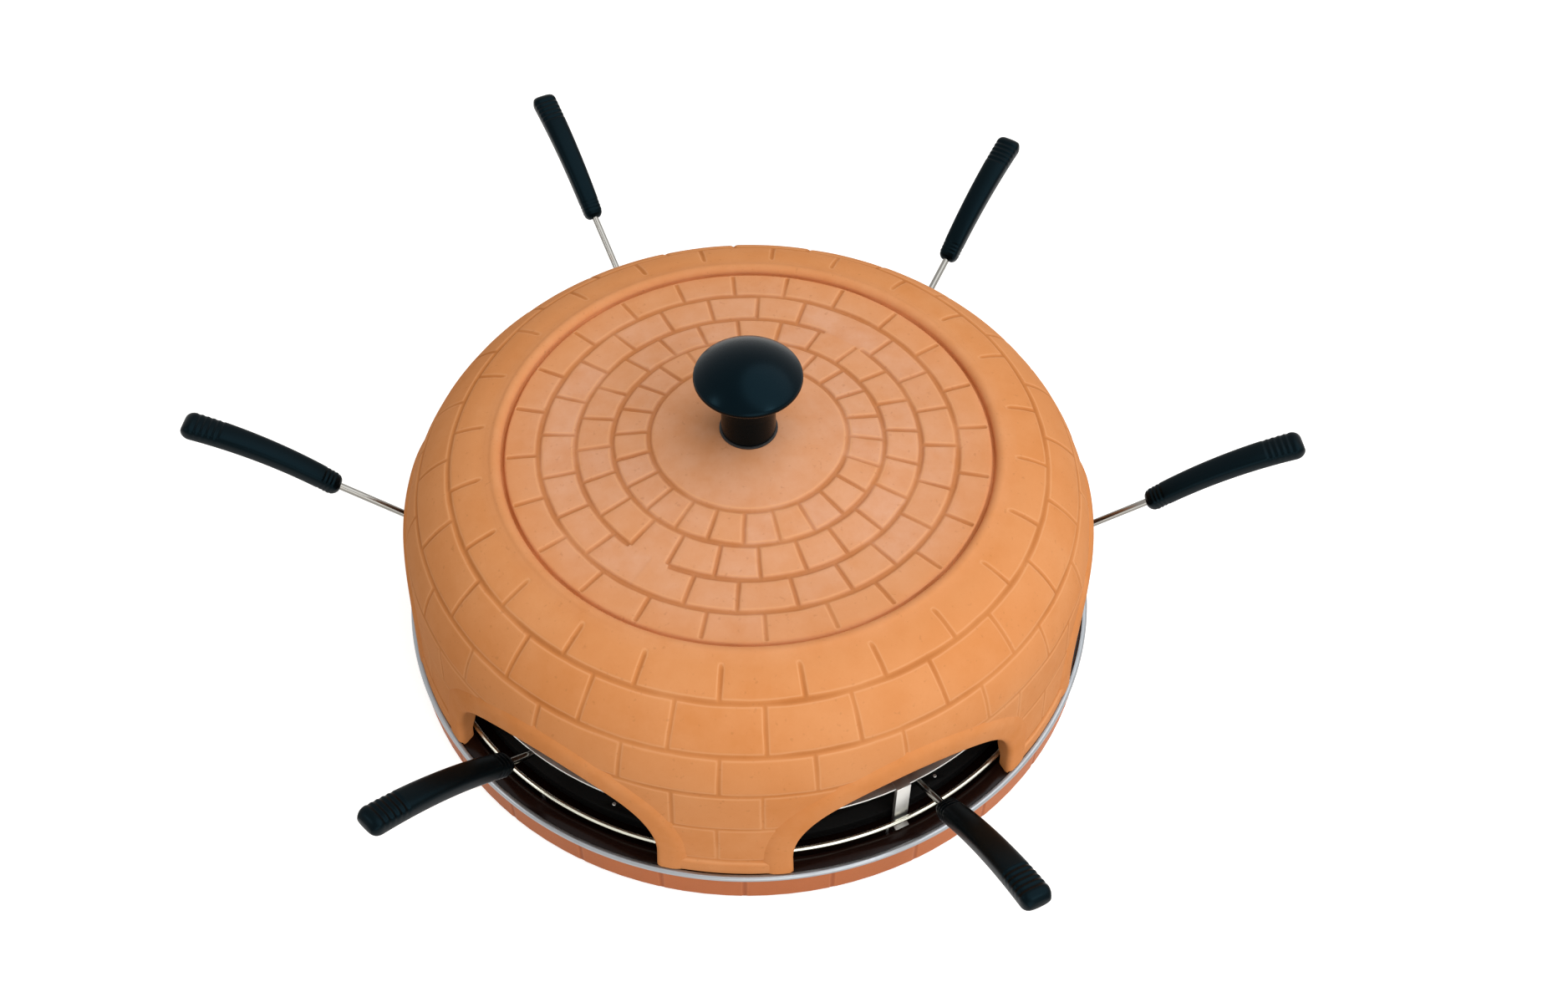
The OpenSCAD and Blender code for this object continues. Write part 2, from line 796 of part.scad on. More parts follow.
// Mushroom knob
module knob() color(dark) difference() {
    rotate_extrude() {
        polygon([[0, knob_z], [neck_r, knob_z], [neck_r - neck_waist, knob_z + neck_h * 0.35],
            [neck_r - neck_waist, knob_z + neck_h * 0.7], [neck_r, cap_z], [cap_in, cap_z],
            [cap_in, cap_z + cap_edge], [0, cap_z + cap_edge]]);
        translate([cap_in, cap_z + cap_edge])
            circle(cap_edge);
        intersection() {
            translate([0, cap_z + cap_h - cap_ball])
                circle(cap_ball);
            polygon([[0, cap_z + cap_h - cap_ball], [cap_in, cap_z + cap_edge],
                [cap_in * 2, cap_z + cap_edge + cap_ball - cap_rise], [0, cap_z + 2 * cap_h]]);
        }
    }
    cylinder(r = stud_r + slack, h = knob_z + stud_l + 1);
}

// Washer against the clay inside the dome
module knob_washer() color(bright) translate([0, 0, ceiling_z - washer_t]) difference() {
    cylinder(r = washer_r, h = washer_t);
    translate([0, 0, -eps])
        cylinder(r = stud_r + gap, h = washer_t + 2 * eps);
}

// Screw from inside the dome up into the knob
module knob_screw() color(bright) {
    translate([0, 0, ceiling_z - washer_t - head_h])
        cylinder(r = head_r, h = head_h);
    translate([0, 0, ceiling_z - washer_t - eps])
        cylinder(r = stud_r, h = knob_z + stud_l - ceiling_z + washer_t);
}

// Puts a spatula in its arch; its own origin is where the shaft enters the handle
module in_arch(i) {
    az = arch_az + 180 - i * step;
    spot = az + turns[i];
    translate([wall_ref * cos(spot), wall_ref * sin(spot), 0])
        rotate([0, 0, spot + yaws[i]])
            translate([pulls[i], 0, 0])
                children();
}

// Flat blade with round corners
module blade() translate([blade_x - blade_l / 2, 0, blade_z])
    linear_extrude(blade_t)
        round_rect(blade_l, blade_w, blade_round);

// Bent wire with a flat tongue on the blade
module shaft() {
    translate([blade_x - tongue_l, -tongue_w / 2, blade_top])
        cube([tongue_l, tongue_w, tongue_t]);
    rod([blade_x - tongue_l / 2, 0, wire_z], [-shaft_run, 0, wire_z], wire_r);
    translate([-shaft_run, 0, wire_z])
        sphere(wire_r);
    rod([-shaft_run, 0, wire_z], [shaft_in * cos(shaft_slope), 0, grip_z + shaft_in * sin(shaft_slope)],
        wire_r);
}

// Curved handle with round ends, ribs at its outer end and a hole for the shaft
module handle() difference() {
    intersection() {
        union() {
            translate([grip_cx, 0, grip_cz])
                rotate([90, 0, 0])
                    rotate([0, 0, 90 + grip_end_slope])
                        rotate_extrude(angle = grip_bend)
                            translate([grip_r, 0])
                                round_rect(grip_t, grip_w, grip_round);
            for (p = [[grip_x, grip_end_z], [grip_ax, grip_az]])
                translate([p[0], grip_w / 2, p[1]])
                    rotate([90, 0, 0])
                        cylinder(r = grip_t / 2, h = grip_w);
        }
        translate([0, 0, -far / 2])
            linear_extrude(far)
                polygon([[grip_ax - grip_t / 2, grip_nose - grip_neck_w / 2], [grip_ax, -grip_neck_w / 2],
                    [grip_x, -grip_w / 2], [grip_x + grip_t / 2, grip_nose - grip_w / 2],
                    [grip_x + grip_t / 2, grip_w / 2 - grip_nose], [grip_x, grip_w / 2],
                    [grip_ax, grip_neck_w / 2], [grip_ax - grip_t / 2, grip_neck_w / 2 - grip_nose]]);
    }
    rod([-grip_t * cos(shaft_slope), 0, grip_z - grip_t * sin(shaft_slope)],
        [bore_in * cos(shaft_slope), 0, grip_z + bore_in * sin(shaft_slope)], wire_r + slack);
    for (i = [0 : groove_n - 1])
        translate([grip_cx, 0, grip_cz])
            rotate([0, -(grip_end_slope + (rib_first + i * rib_gap) / grip_r * 180 / PI), 0])
                translate([-rib_cut / 2, -grip_w, grip_r + grip_t / 2 - rib_deep])
                    cube([rib_cut, 2 * grip_w, grip_t]);
}

base_drum();
bottom_cover();
feet();
foot_screws();
rim_ring();
tray();
lower_heater();
lower_clips();
terminal_block();
leads();
plate_posts();
baking_plate();
plate_rivets();
plate_ring();
ring_legs();
heater_legs();
feed_strap();
feed_rods();
carrier_ring();
upper_heater();
upper_clips();
switch_case();
switch_rocker();
switch_lens();
cord_gland();
gland_nut();
dome();
knob_gasket();
knob();
knob_washer();
knob_screw();
color(steel) in_arch(0) blade();  // blade_1
color(steel) in_arch(1) blade();  // blade_2
color(steel) in_arch(2) blade();  // blade_3
color(steel) in_arch(3) blade();  // blade_4
color(steel) in_arch(4) blade();  // blade_5
color(steel) in_arch(5) blade();  // blade_6
color(bright) in_arch(0) shaft();  // shaft_1
color(bright) in_arch(1) shaft();  // shaft_2
color(bright) in_arch(2) shaft();  // shaft_3
color(bright) in_arch(3) shaft();  // shaft_4
color(bright) in_arch(4) shaft();  // shaft_5
color(bright) in_arch(5) shaft();  // shaft_6
color(dark) in_arch(0) handle();  // handle_1
color(dark) in_arch(1) handle();  // handle_2
color(dark) in_arch(2) handle();  // handle_3
color(dark) in_arch(3) handle();  // handle_4
color(dark) in_arch(4) handle();  // handle_5
color(dark) in_arch(5) handle();  // handle_6
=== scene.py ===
# %% [markdown]
# # A table-top pizza oven with a clay dome
# The oven stands on a low painted drum. A thick clay dome with six arches lifts off it, and six spatulas
# with black handles lie in the arches. The mechanical model is packed already and gives every place and
# every joint. Here each visible piece gets its finished shape and surface, in the same frame, so nothing
# has to be fitted.

# %% Load the frame
import json
import math
from functools import partial

import bmesh
import bpy
import numpy as np
from mathutils import Matrix, Vector

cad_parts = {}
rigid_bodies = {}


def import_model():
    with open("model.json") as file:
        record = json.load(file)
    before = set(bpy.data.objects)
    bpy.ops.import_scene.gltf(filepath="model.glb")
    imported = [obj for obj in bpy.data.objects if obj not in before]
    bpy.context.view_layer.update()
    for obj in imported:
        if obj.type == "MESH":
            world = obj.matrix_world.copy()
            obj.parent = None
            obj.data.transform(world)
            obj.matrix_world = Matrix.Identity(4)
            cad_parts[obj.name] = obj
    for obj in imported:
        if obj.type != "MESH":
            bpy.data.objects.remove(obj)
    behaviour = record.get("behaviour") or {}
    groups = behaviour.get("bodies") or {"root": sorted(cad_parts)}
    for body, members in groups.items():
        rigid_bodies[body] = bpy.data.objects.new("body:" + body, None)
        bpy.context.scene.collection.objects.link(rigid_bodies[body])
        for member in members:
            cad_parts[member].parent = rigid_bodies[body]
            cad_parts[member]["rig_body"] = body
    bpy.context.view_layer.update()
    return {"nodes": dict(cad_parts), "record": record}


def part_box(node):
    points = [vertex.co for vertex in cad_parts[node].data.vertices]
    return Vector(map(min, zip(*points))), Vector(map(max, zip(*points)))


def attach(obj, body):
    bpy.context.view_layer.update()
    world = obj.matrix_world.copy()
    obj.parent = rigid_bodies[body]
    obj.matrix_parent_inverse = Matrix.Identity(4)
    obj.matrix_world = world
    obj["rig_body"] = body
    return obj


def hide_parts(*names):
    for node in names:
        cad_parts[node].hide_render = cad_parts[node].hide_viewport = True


for left_over in list(bpy.data.objects):
    bpy.data.objects.remove(left_over)
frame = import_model()
scene = bpy.context.scene
MM = 0.001

# %% [markdown]
# ## Camera
# The camera looks down at the oven from the front, about 51 degrees above the table, a metre away. It could
# be placed by hand, but an eye point, an aim point and a focal length say the same thing exactly. The
# picture leans by less than a degree, so the camera rolls by that much.

# %% Camera at the viewing angle
EYE = np.array([21.04, -644.29, 889.02]) * MM
AIM = np.array([21.04, 0.0, 105.2]) * MM
ROLL = math.radians(0.82)
FOCAL_PIXELS, IMAGE_WIDTH = 2000, 1876
SENSOR = 36


def put(name, data):
    """A new object in the scene."""
    made = bpy.data.objects.new(name, data)
    scene.collection.objects.link(made)
    return made


def look_at(thing, eye, aim, roll=0.0):
    """Places a camera or a lamp at one point, looking at another."""
    turn = Vector(aim - eye).to_track_quat("-Z", "Y").to_matrix().to_4x4()
    thing.matrix_world = Matrix.Translation(Vector(eye)) @ turn @ Matrix.Rotation(roll, 4, "Z")


camera = put("viewing_camera", bpy.data.cameras.new("viewing_camera"))
camera.data.sensor_width = SENSOR
camera.data.lens = SENSOR * FOCAL_PIXELS / IMAGE_WIDTH
look_at(camera, EYE, AIM, ROLL)
scene.camera = camera
print("camera lens", round(camera.data.lens, 2), "mm")

# %% [markdown]
# ## Node helpers
# Materials and Geometry Nodes trees are both graphs of nodes. A few small helpers keep the cells short: one
# fills an input with a number or a link, one makes a node with its settings and inputs, and the rest make
# the nodes that come back all the time. The last one ties three of them to one tree.

# %% Helpers for node trees
def plug(tree, value, socket):
    if isinstance(value, bpy.types.NodeSocket):
        tree.links.new(value, socket)
    else:
        socket.default_value = value


def add(tree, kind, inputs=None, **settings):
    made = tree.nodes.new(kind)
    for key, value in settings.items():
        setattr(made, key, value)
    for key, value in (inputs or {}).items():
        plug(tree, value, made.inputs[key])
    return made


def maths(tree, operation, *values):
    return add(tree, "ShaderNodeMath", dict(enumerate(values)), operation=operation).outputs[0]


def remap(tree, value, low, high, to_low=0.0, to_high=1.0, kind="LINEAR"):
    inputs = {"Value": value, "From Min": low, "From Max": high, "To Min": to_low, "To Max": to_high}
    return add(tree, "ShaderNodeMapRange", inputs, interpolation_type=kind).outputs[0]


def noise(tree, vector, scale, detail=2.0, rough=0.5, seed=0.0):
    inputs = {"Vector": vector, "W": seed, "Scale": scale, "Detail": detail, "Roughness": rough}
    return add(tree, "ShaderNodeTexNoise", inputs, noise_dimensions="4D").outputs[0]


def tint(tree, factor, first, second):
    return add(tree, "ShaderNodeMix", {0: factor, 6: first, 7: second}, data_type="RGBA").outputs[2]


def shorthand(tree):
    return partial(maths, tree), partial(remap, tree), partial(noise, tree)


print("helpers for node trees")

# %% [markdown]
# ## Room and light
# The oven stands on a plain white table top. A big soft lamp with a cool tint shines from the upper right
# and a second, low one from the front, with an even warm glow all round, so colours come out about as
# written. Two small lamps at the left and the right mainly put glints on the black knob and the handles.
# The background is white only where the camera, a reflection or glass looks at it; the light that it gives
# is lower.

# %% World, floor and lamps
WORLD_GLOW = 0.37
FLOOR_GREY, FLOOR_LIFT, FLOOR_HALF = 0.6, 0.78, 4.0
WARM, COOL, NEUTRAL = (1.0, 0.90, 0.74), (0.92, 0.96, 1.0), (1.0, 1.0, 1.0)
LAMP_AIM = np.array([0.0, 0.0, 0.08])
# Name, place and width in metres, watts and colour
LAMPS = (("key_lamp", (0.7, 0.0, 1.5), 2.2, 20.5, COOL),
         ("fill_lamp", (0.4, -1.4, 0.4), 1.2, 7, NEUTRAL),
         ("left_lamp", (-1.0, -0.35, 0.95), 0.3, 1.2, NEUTRAL),
         ("right_lamp", (0.75, -0.75, 1.0), 0.3, 1.6, NEUTRAL))
scene.view_settings.view_transform = "Standard"


def empty_tree(owner):
    owner.use_nodes = True
    owner.node_tree.nodes.clear()
    return owner.node_tree


def seen_flag(tree):
    """1 for rays of the camera, of reflections and through glass, 0 for the light that falls on things."""
    rays = add(tree, "ShaderNodeLightPath").outputs
    seen = maths(tree, "MAXIMUM", rays["Is Camera Ray"], rays["Is Glossy Ray"])
    return maths(tree, "MAXIMUM", seen, rays["Is Transmission Ray"])


scene.world = bpy.data.worlds.new("studio")
tree = empty_tree(scene.world)
glow = add(tree, "ShaderNodeBackground", {"Color": (*WARM, 1), "Strength": WORLD_GLOW})
white = add(tree, "ShaderNodeBackground", {"Color": (*NEUTRAL, 1), "Strength": 1.0})
either = add(tree, "ShaderNodeMixShader", {0: seen_flag(tree), 1: glow.outputs[0], 2: white.outputs[0]})
add(tree, "ShaderNodeOutputWorld", {"Surface": either.outputs[0]})

floor_paint = bpy.data.materials.new("pale_floor")
tree = empty_tree(floor_paint)
lift = maths(tree, "MULTIPLY", seen_flag(tree), FLOOR_LIFT)
matt = add(tree, "ShaderNodeBsdfDiffuse", {"Color": (FLOOR_GREY, FLOOR_GREY, FLOOR_GREY, 1)})
shine = add(tree, "ShaderNodeEmission", {"Color": (*NEUTRAL, 1), "Strength": lift})
both = add(tree, "ShaderNodeAddShader", {0: matt.outputs[0], 1: shine.outputs[0]})
add(tree, "ShaderNodeOutputMaterial", {"Surface": both.outputs[0]})

floor_mesh = bpy.data.meshes.new("table_top")
floor_mesh.from_pydata([(x * FLOOR_HALF, y * FLOOR_HALF, 0) for x, y in ((-1, -1), (1, -1), (1, 1), (-1, 1))],
                       [], [(0, 1, 2, 3)])
floor_mesh.materials.append(floor_paint)
floor = put("table_top", floor_mesh)

for name, place, width, watts, colour in LAMPS:
    light = bpy.data.lights.new(name, "AREA")
    light.shape = "DISK"
    light.size = width
    light.energy = watts
    light.color = colour
    look_at(put(name, light), np.array(place), LAMP_AIM)
print("floor, world and", len(LAMPS), "lamps")

# %% [markdown]
# ## Shared surface effects
# Fired clay, bare metal and moulded black parts come back on many pieces, so each effect is a node group
# that is built once and placed in every material with its own values. A group gives only masks and heights
# that change over the surface. The shader itself stays in the material.

# %% Groups for clay, metal and black surfaces
CROWN_EDGE, CROWN_FULL = 158 * MM, 112 * MM
SHOULDER_LOW, SHOULDER_HIGH = 120 * MM, 140 * MM


def new_effect(name, inputs):
    effect = bpy.data.node_groups.new(name, "ShaderNodeTree")
    for label, value in inputs.items():
        socket = effect.interface.new_socket(label, in_out="INPUT", socket_type="NodeSocketFloat")
        socket.default_value = value
    place = add(effect, "ShaderNodeTexCoord").outputs["Object"]
    return effect, add(effect, "NodeGroupInput").outputs, place


def close_effect(effect, **masks):
    for label in masks:
        effect.interface.new_socket(label, in_out="OUTPUT", socket_type="NodeSocketFloat")
    add(effect, "NodeGroupOutput", masks)


clay_skin, given, place = new_effect("clay skin", {"Patch size": 14.0, "Grain size": 700.0, "Seed": 1.0})
calc, fit, cloud = shorthand(clay_skin)
smear_size = calc("MULTIPLY", given["Patch size"], 4.5)
speck_size = calc("MULTIPLY", given["Grain size"], 0.5)
pit_size = calc("MULTIPLY", given["Grain size"], 0.36)
grain = cloud(place, given["Grain size"], 3.0, 0.6, given["Seed"])
pits = fit(cloud(place, pit_size, 2.0, 0.5, 12.0), 0.68, 0.78)
split = add(clay_skin, "ShaderNodeSeparateXYZ", {0: place}).outputs
squares = calc("ADD", calc("MULTIPLY", split["X"], split["X"]), calc("MULTIPLY", split["Y"], split["Y"]))
close_effect(
    clay_skin, Grain=grain,
    Patches=fit(cloud(place, given["Patch size"], 3.0, 0.55, given["Seed"]), 0.32, 0.68),
    Smears=fit(cloud(place, smear_size, 3.0, 0.6, given["Seed"]), 0.35, 0.7),
    Specks=fit(cloud(place, speck_size, 1.0, 0.5, 7.0), 0.66, 0.76),
    # Crown mask: a paler crown, partly the clay's own tone and partly painted light from above
    Top=calc("MULTIPLY", fit(calc("SQRT", squares), CROWN_EDGE, CROWN_FULL),
             fit(split["Z"], SHOULDER_LOW, SHOULDER_HIGH)),
    Height=calc("SUBTRACT", calc("MULTIPLY", grain, 0.5), calc("MULTIPLY", pits, 0.8)))

metal_wear, given, place = new_effect(
    "metal wear", {"Cloud size": 30.0, "Scratch size": 900.0, "Stretch": 0.06})
calc, fit, cloud = shorthand(metal_wear)
long_way = add(metal_wear, "ShaderNodeCombineXYZ", {"X": given["Stretch"], "Y": given["Stretch"], "Z": 1.0})
stretched = add(metal_wear, "ShaderNodeVectorMath", {0: place, 1: long_way.outputs[0]}, operation="MULTIPLY")
scratches = cloud(stretched.outputs[0], given["Scratch size"], 2.0, 0.6)
stain_size = calc("MULTIPLY", given["Cloud size"], 3.1)
close_effect(
    metal_wear, Scratches=scratches, Height=scratches,
    Clouds=fit(cloud(place, given["Cloud size"], 3.0, 0.6), 0.35, 0.7),
    Stains=fit(cloud(place, stain_size, 4.0, 0.65, 3.0), 0.55, 0.75))

satin_mottle, given, place = new_effect("satin mottle", {"Cloud size": 40.0, "Texture size": 1600.0})
calc, fit, cloud = shorthand(satin_mottle)
texture = cloud(place, given["Texture size"], 2.0, 0.6)
dust_size = calc("MULTIPLY", given["Texture size"], 0.3)
close_effect(
    satin_mottle, Texture=texture, Height=texture,
    Clouds=fit(cloud(place, given["Cloud size"], 3.0, 0.6), 0.3, 0.7),
    Dust=fit(cloud(place, dust_size, 2.0, 0.5, 5.0), 0.62, 0.74))
print("effects:", ", ".join(group.name for group in (clay_skin, metal_wear, satin_mottle)))

# %% [markdown]
# ## Clay and painted finishes
# The dome is unglazed clay: a warm orange brown, paler and pinker on the crown, partly its own tone and
# partly painted light from above. The grooves are darker, partly darker clay and partly painted shade, and a
# painted highlight runs pale along their edges. The carving step below stores how deep each point lies and a
# number for each brick, and the material reads both. The drum is painted metal in a redder shade of the same
# colour.

# %% Clay-like materials
def opaque(colour):
    return (*colour, 1)


def new_material(name, **constants):
    finish = bpy.data.materials.new(name)
    finish.use_nodes = True
    shader = finish.node_tree.nodes["Principled BSDF"]
    for label, value in constants.items():
        shader.inputs[label.replace("_", " ")].default_value = value
    return finish, finish.node_tree, shader


def use_effect(tree, effect, **values):
    made = add(tree, "ShaderNodeGroup", node_tree=effect)
    for label, value in values.items():
        made.inputs[label.replace("_", " ")].default_value = value
    return made.outputs


def close_material(tree, shader, colour, rough, height, relief, relief_mm):
    bump = add(tree, "ShaderNodeBump", {"Height": height, "Strength": relief, "Distance": relief_mm * MM})
    for label, value in (("Base Color", colour), ("Roughness", rough), ("Normal", bump.outputs[0])):
        plug(tree, value, shader.inputs[label])


def clay_finish(name, grain_size, rough, relief, **colours):
    finish, tree, shader = new_material(name, Specular_IOR_Level=0.1)
    calc, fit, _ = shorthand(tree)
    skin = use_effect(tree, clay_skin, Grain_size=grain_size)
    cut, own = (add(tree, "ShaderNodeAttribute", attribute_name=label).outputs["Fac"]
                for label in ("carve", "brick_tint"))
    # A band along each groove's lip that takes a painted highlight
    edge = calc("MULTIPLY", fit(cut, 0.02, 0.15), fit(cut, 0.2, 0.4, 1, 0))
    colour = opaque(colours["body"])
    # The groove colour is partly darker clay and partly painted shade in the recess
    for mask, share, label in (
            (skin["Patches"], 1.0, "pale"), (skin["Top"], 1.0, "blush"), (skin["Smears"], 0.45, "deep"),
            (own, 0.5, "pale"), (skin["Grain"], 0.18, "deep"), (edge, 0.5, "worn"),
            (fit(cut, 0.15, 1.0), 0.65, "groove"), (skin["Specks"], 0.25, "speck")):
        colour = tint(tree, calc("MULTIPLY", mask, share), colour, opaque(colours[label]))
    rough_here = fit(skin["Grain"], 0.2, 0.8, rough - 0.08, rough + 0.06)
    close_material(tree, shader, colour, rough_here, skin["Height"], relief, 0.5)
    return finish


# The crown colour is partly the clay's own tone and partly painted light from above
finishes = {
    "terracotta": clay_finish(
        "terracotta", 700.0, 0.86, 0.22, body=(0.70, 0.266, 0.086), pale=(0.74, 0.322, 0.132),
        blush=(0.75, 0.400, 0.258), deep=(0.63, 0.215, 0.052), groove=(0.45, 0.150, 0.036),
        worn=(0.80, 0.40, 0.19), speck=(0.42, 0.15, 0.05)),
    "painted_band": clay_finish(
        "painted_band", 1100.0, 0.52, 0.12, body=(0.52, 0.150, 0.048), pale=(0.56, 0.175, 0.062),
        blush=(0.56, 0.175, 0.062), deep=(0.44, 0.115, 0.036), groove=(0.30, 0.075, 0.026),
        worn=(0.60, 0.20, 0.08), speck=(0.36, 0.10, 0.045)),
}
print("clay finishes:", ", ".join(finishes))

# %% [markdown]
# ## Metal, black and other finishes
# Sheet metal shines softly, with faint clouds and fine scratches. Black parts are satin with a fine moulded
# texture, and the knob and the handles carry a painted blue reflection: a blue tint on their reflections and
# faintly in their colour. Two functions make all of them, each time with other colours and strengths; the
# ceramic and the small red lens are made like the black parts.

# %% Metal and black materials
def metal_finish(name, colour, stain, rough, stain_amount=0.35):
    finish, tree, shader = new_material(name, Metallic=1.0)
    calc, fit, _ = shorthand(tree)
    wear = use_effect(tree, metal_wear)
    shade = tint(tree, calc("MULTIPLY", wear["Stains"], stain_amount), opaque(colour), opaque(stain))
    haze = calc("ADD", calc("MULTIPLY", wear["Clouds"], 0.5), calc("MULTIPLY", wear["Scratches"], 0.5))
    rough_here = fit(haze, 0.0, 1.0, rough * 0.7, rough * 1.5)
    close_material(tree, shader, shade, rough_here, wear["Height"], 0.05, 0.1)
    return finish


def satin_finish(name, colour, haze, rough, shine, sheen=NEUTRAL, texture_size=1600.0, relief=0.1, coat=0.0):
    finish, tree, shader = new_material(name, Specular_IOR_Level=shine, Specular_Tint=opaque(sheen),
                                        Coat_Weight=coat, Coat_Roughness=0.1)
    calc, fit, _ = shorthand(tree)
    skin = use_effect(tree, satin_mottle, Texture_size=texture_size)
    shade = tint(tree, calc("MULTIPLY", skin["Clouds"], 0.6), opaque(colour), opaque(haze))
    shade = tint(tree, calc("MULTIPLY", skin["Dust"], 0.25), shade, opaque(haze))
    rough_here = fit(skin["Texture"], 0.2, 0.8, rough * 0.85, rough * 1.2)
    close_material(tree, shader, shade, rough_here, skin["Height"], relief, 0.1)
    return finish


# Painted blue reflection tint for the knob and the handles
BLUE_REFLECTION_TINT = (0.3, 0.75, 1.0)
# Colour, stain, roughness and how much of the stain shows
METALS = {
    "plain_steel": ((0.55, 0.54, 0.52), (0.34, 0.31, 0.27), 0.34),
    "bright_steel": ((0.66, 0.65, 0.62), (0.48, 0.44, 0.38), 0.36),
    "rim_steel": ((0.33, 0.345, 0.36), (0.21, 0.21, 0.21), 0.36),
    "ring_steel": ((0.72, 0.71, 0.60), (0.56, 0.51, 0.38), 0.24),
    "shaft_steel": ((0.25, 0.24, 0.22), (0.24, 0.15, 0.09), 0.16),
    "heater_tube": ((0.30, 0.28, 0.26), (0.16, 0.13, 0.11), 0.42, 0.7),
}
# Colour, haze, roughness, shine, sheen, texture size, relief and coat
SATINS = {
    "brown_enamel": ((0.010, 0.0035, 0.0025), (0.016, 0.006, 0.004), 0.22, 0.12, NEUTRAL, 900.0, 0.03, 0.08),
    "black_coating": ((0.004, 0.004, 0.004), (0.007, 0.0066, 0.0062), 0.45, 0.1, NEUTRAL, 2400.0, 0.12),
    # The knob's and the handles' bluish blacks are a painted blue reflection
    "knob_black": ((0.0006, 0.0018, 0.0030), (0.0012, 0.0030, 0.0045), 0.25, 0.1, BLUE_REFLECTION_TINT),
    "handle_black": ((0.0006, 0.0009, 0.0011), (0.0014, 0.0018, 0.0021), 0.34, 0.1, BLUE_REFLECTION_TINT, 2200.0, 0.15),
    "black_plastic": ((0.010, 0.010, 0.011), (0.018, 0.018, 0.019), 0.38, 0.4),
    "rubber_black": ((0.016, 0.016, 0.016), (0.028, 0.027, 0.026), 0.75, 0.3),
    "black_insulation": ((0.014, 0.014, 0.015), (0.03, 0.028, 0.026), 0.55, 0.4),
    "white_ceramic": ((0.78, 0.74, 0.66), (0.68, 0.62, 0.53), 0.45, 0.4),
    "pilot_lens": ((0.45, 0.03, 0.015), (0.55, 0.06, 0.02), 0.15, 0.5, NEUTRAL, 1600.0, 0.1, 0.6),
}
for make, table in ((metal_finish, METALS), (satin_finish, SATINS)):
    for name, values in table.items():
        finishes[name] = make(name, *values)
print(len(finishes), "finishes")

# %% [markdown]
# ## Mesh helpers
# Most pieces of the oven are turned round the middle axis or swept along a path. A turned piece needs an
# outline of radius and height, and a swept piece needs a row of rings. These helpers make plain closed
# meshes from both and send the outside of every face outwards.

# %% Helpers for turned and swept pieces
MERGE = 1e-6
# Edges below these angles in degrees are shaded smoothly
SMOOTH, SMOOTH_CLAY, SMOOTH_ROUND, SMOOTH_SHEET = 40, 60, 50, 35


def shade(mesh, smooth_below):
    mesh.shade_smooth()
    mesh.set_sharp_from_angle(angle=math.radians(smooth_below))


def tidy_mesh(mesh, smooth_below):
    """Merges doubled points, sends faces outwards and shades the mesh."""
    shape = bmesh.new()
    shape.from_mesh(mesh)
    bmesh.ops.remove_doubles(shape, verts=shape.verts, dist=MERGE)
    bmesh.ops.recalc_face_normals(shape, faces=shape.faces)
    shape.to_mesh(mesh)
    shape.free()
    shade(mesh, smooth_below)


def raw_piece(name, points, faces, finish):
    mesh = bpy.data.meshes.new(name)
    mesh.from_pydata((np.asarray(points, float).reshape(-1, 3) * MM).tolist(), [], faces)
    mesh.materials.append(finishes[finish])
    return put(name, mesh)


def new_piece(name, points, faces, finish, smooth_below=SMOOTH):
    piece = raw_piece(name, points, faces, finish)
    tidy_mesh(piece.data, smooth_below)
    return piece


def settle(piece, body, finish, *replaced):
    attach(piece, body)
    if replaced:
        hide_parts(*replaced)
    print(piece.name, len(piece.data.polygons), "faces")


def unit(way):
    return way / np.linalg.norm(way)


def soft_step(value, low, high):
    share = np.clip((value - low) / (high - low), 0, 1)
    return share * share * (3 - 2 * share)


def fillet(corners, steps):
    """Rounds the corners of an outline; each corner is (radius from the axis, height, rounding)."""
    outline = []
    for number, (x, z, rounding) in enumerate(corners):
        here = np.array([x, z], float)
        if rounding == 0 or number in (0, len(corners) - 1):
            outline.append(here)
            continue
        before = unit(np.array(corners[number - 1][:2]) - here)
        after = unit(np.array(corners[number + 1][:2]) - here)
        half = math.acos(np.clip(before @ after, -1, 1)) / 2
        reach = rounding / math.tan(half)
        middle = here + unit(before + after) * rounding / math.sin(half)
        first, last = here + before * reach - middle, here + after * reach - middle
        for share in np.linspace(0, 1, steps):
            outline.append(middle + unit(first * (1 - share) + last * share) * rounding)
    return np.array(outline)


def loop_fillet(corners, steps):
    """The same for an outline that closes on itself."""
    return fillet([corners[-1], *corners, corners[0]], steps)[1:-1]


def arc(x, z, radius, start, stop, count):
    angles = np.radians(np.linspace(start, stop, count))
    return np.column_stack([x + radius * np.cos(angles), z + radius * np.sin(angles)])


def round_points(radius, turn, height):
    """Points at distances from the axis, turns in radians and heights, spread over each other."""
    radius, turn, height = np.broadcast_arrays(radius, turn, height)
    return np.stack([radius * np.cos(turn), radius * np.sin(turn), height], axis=-1)


def skin_rings(rings, closed_path=False):
    """Points and faces of a skin over rings of equal size; open ends get a fan."""
    count, size = rings.shape[:2]
    points = rings.reshape(-1, 3)

    def at(ring, spoke):
        return ring % count * size + spoke % size

    faces = [(at(a, b), at(a, b + 1), at(a + 1, b + 1), at(a + 1, b))
             for a in range(count if closed_path else count - 1) for b in range(size)]
    if not closed_path:
        for row in (0, count - 1):
            tip = len(points)
            points = np.vstack([points, rings[row].mean(0)])
            faces += [(at(row, b), at(row, b + 1), tip) for b in range(size)]
    return points, faces


def turned(name, outline, columns, finish):
    """A ring with a closed outline, turned round the axis."""
    angles = np.radians(np.arange(columns) * 360 / columns)
    rings = round_points(outline[None, :, 0], angles[:, None], outline[None, :, 1])
    return new_piece(name, *skin_rings(rings, closed_path=True), finish)


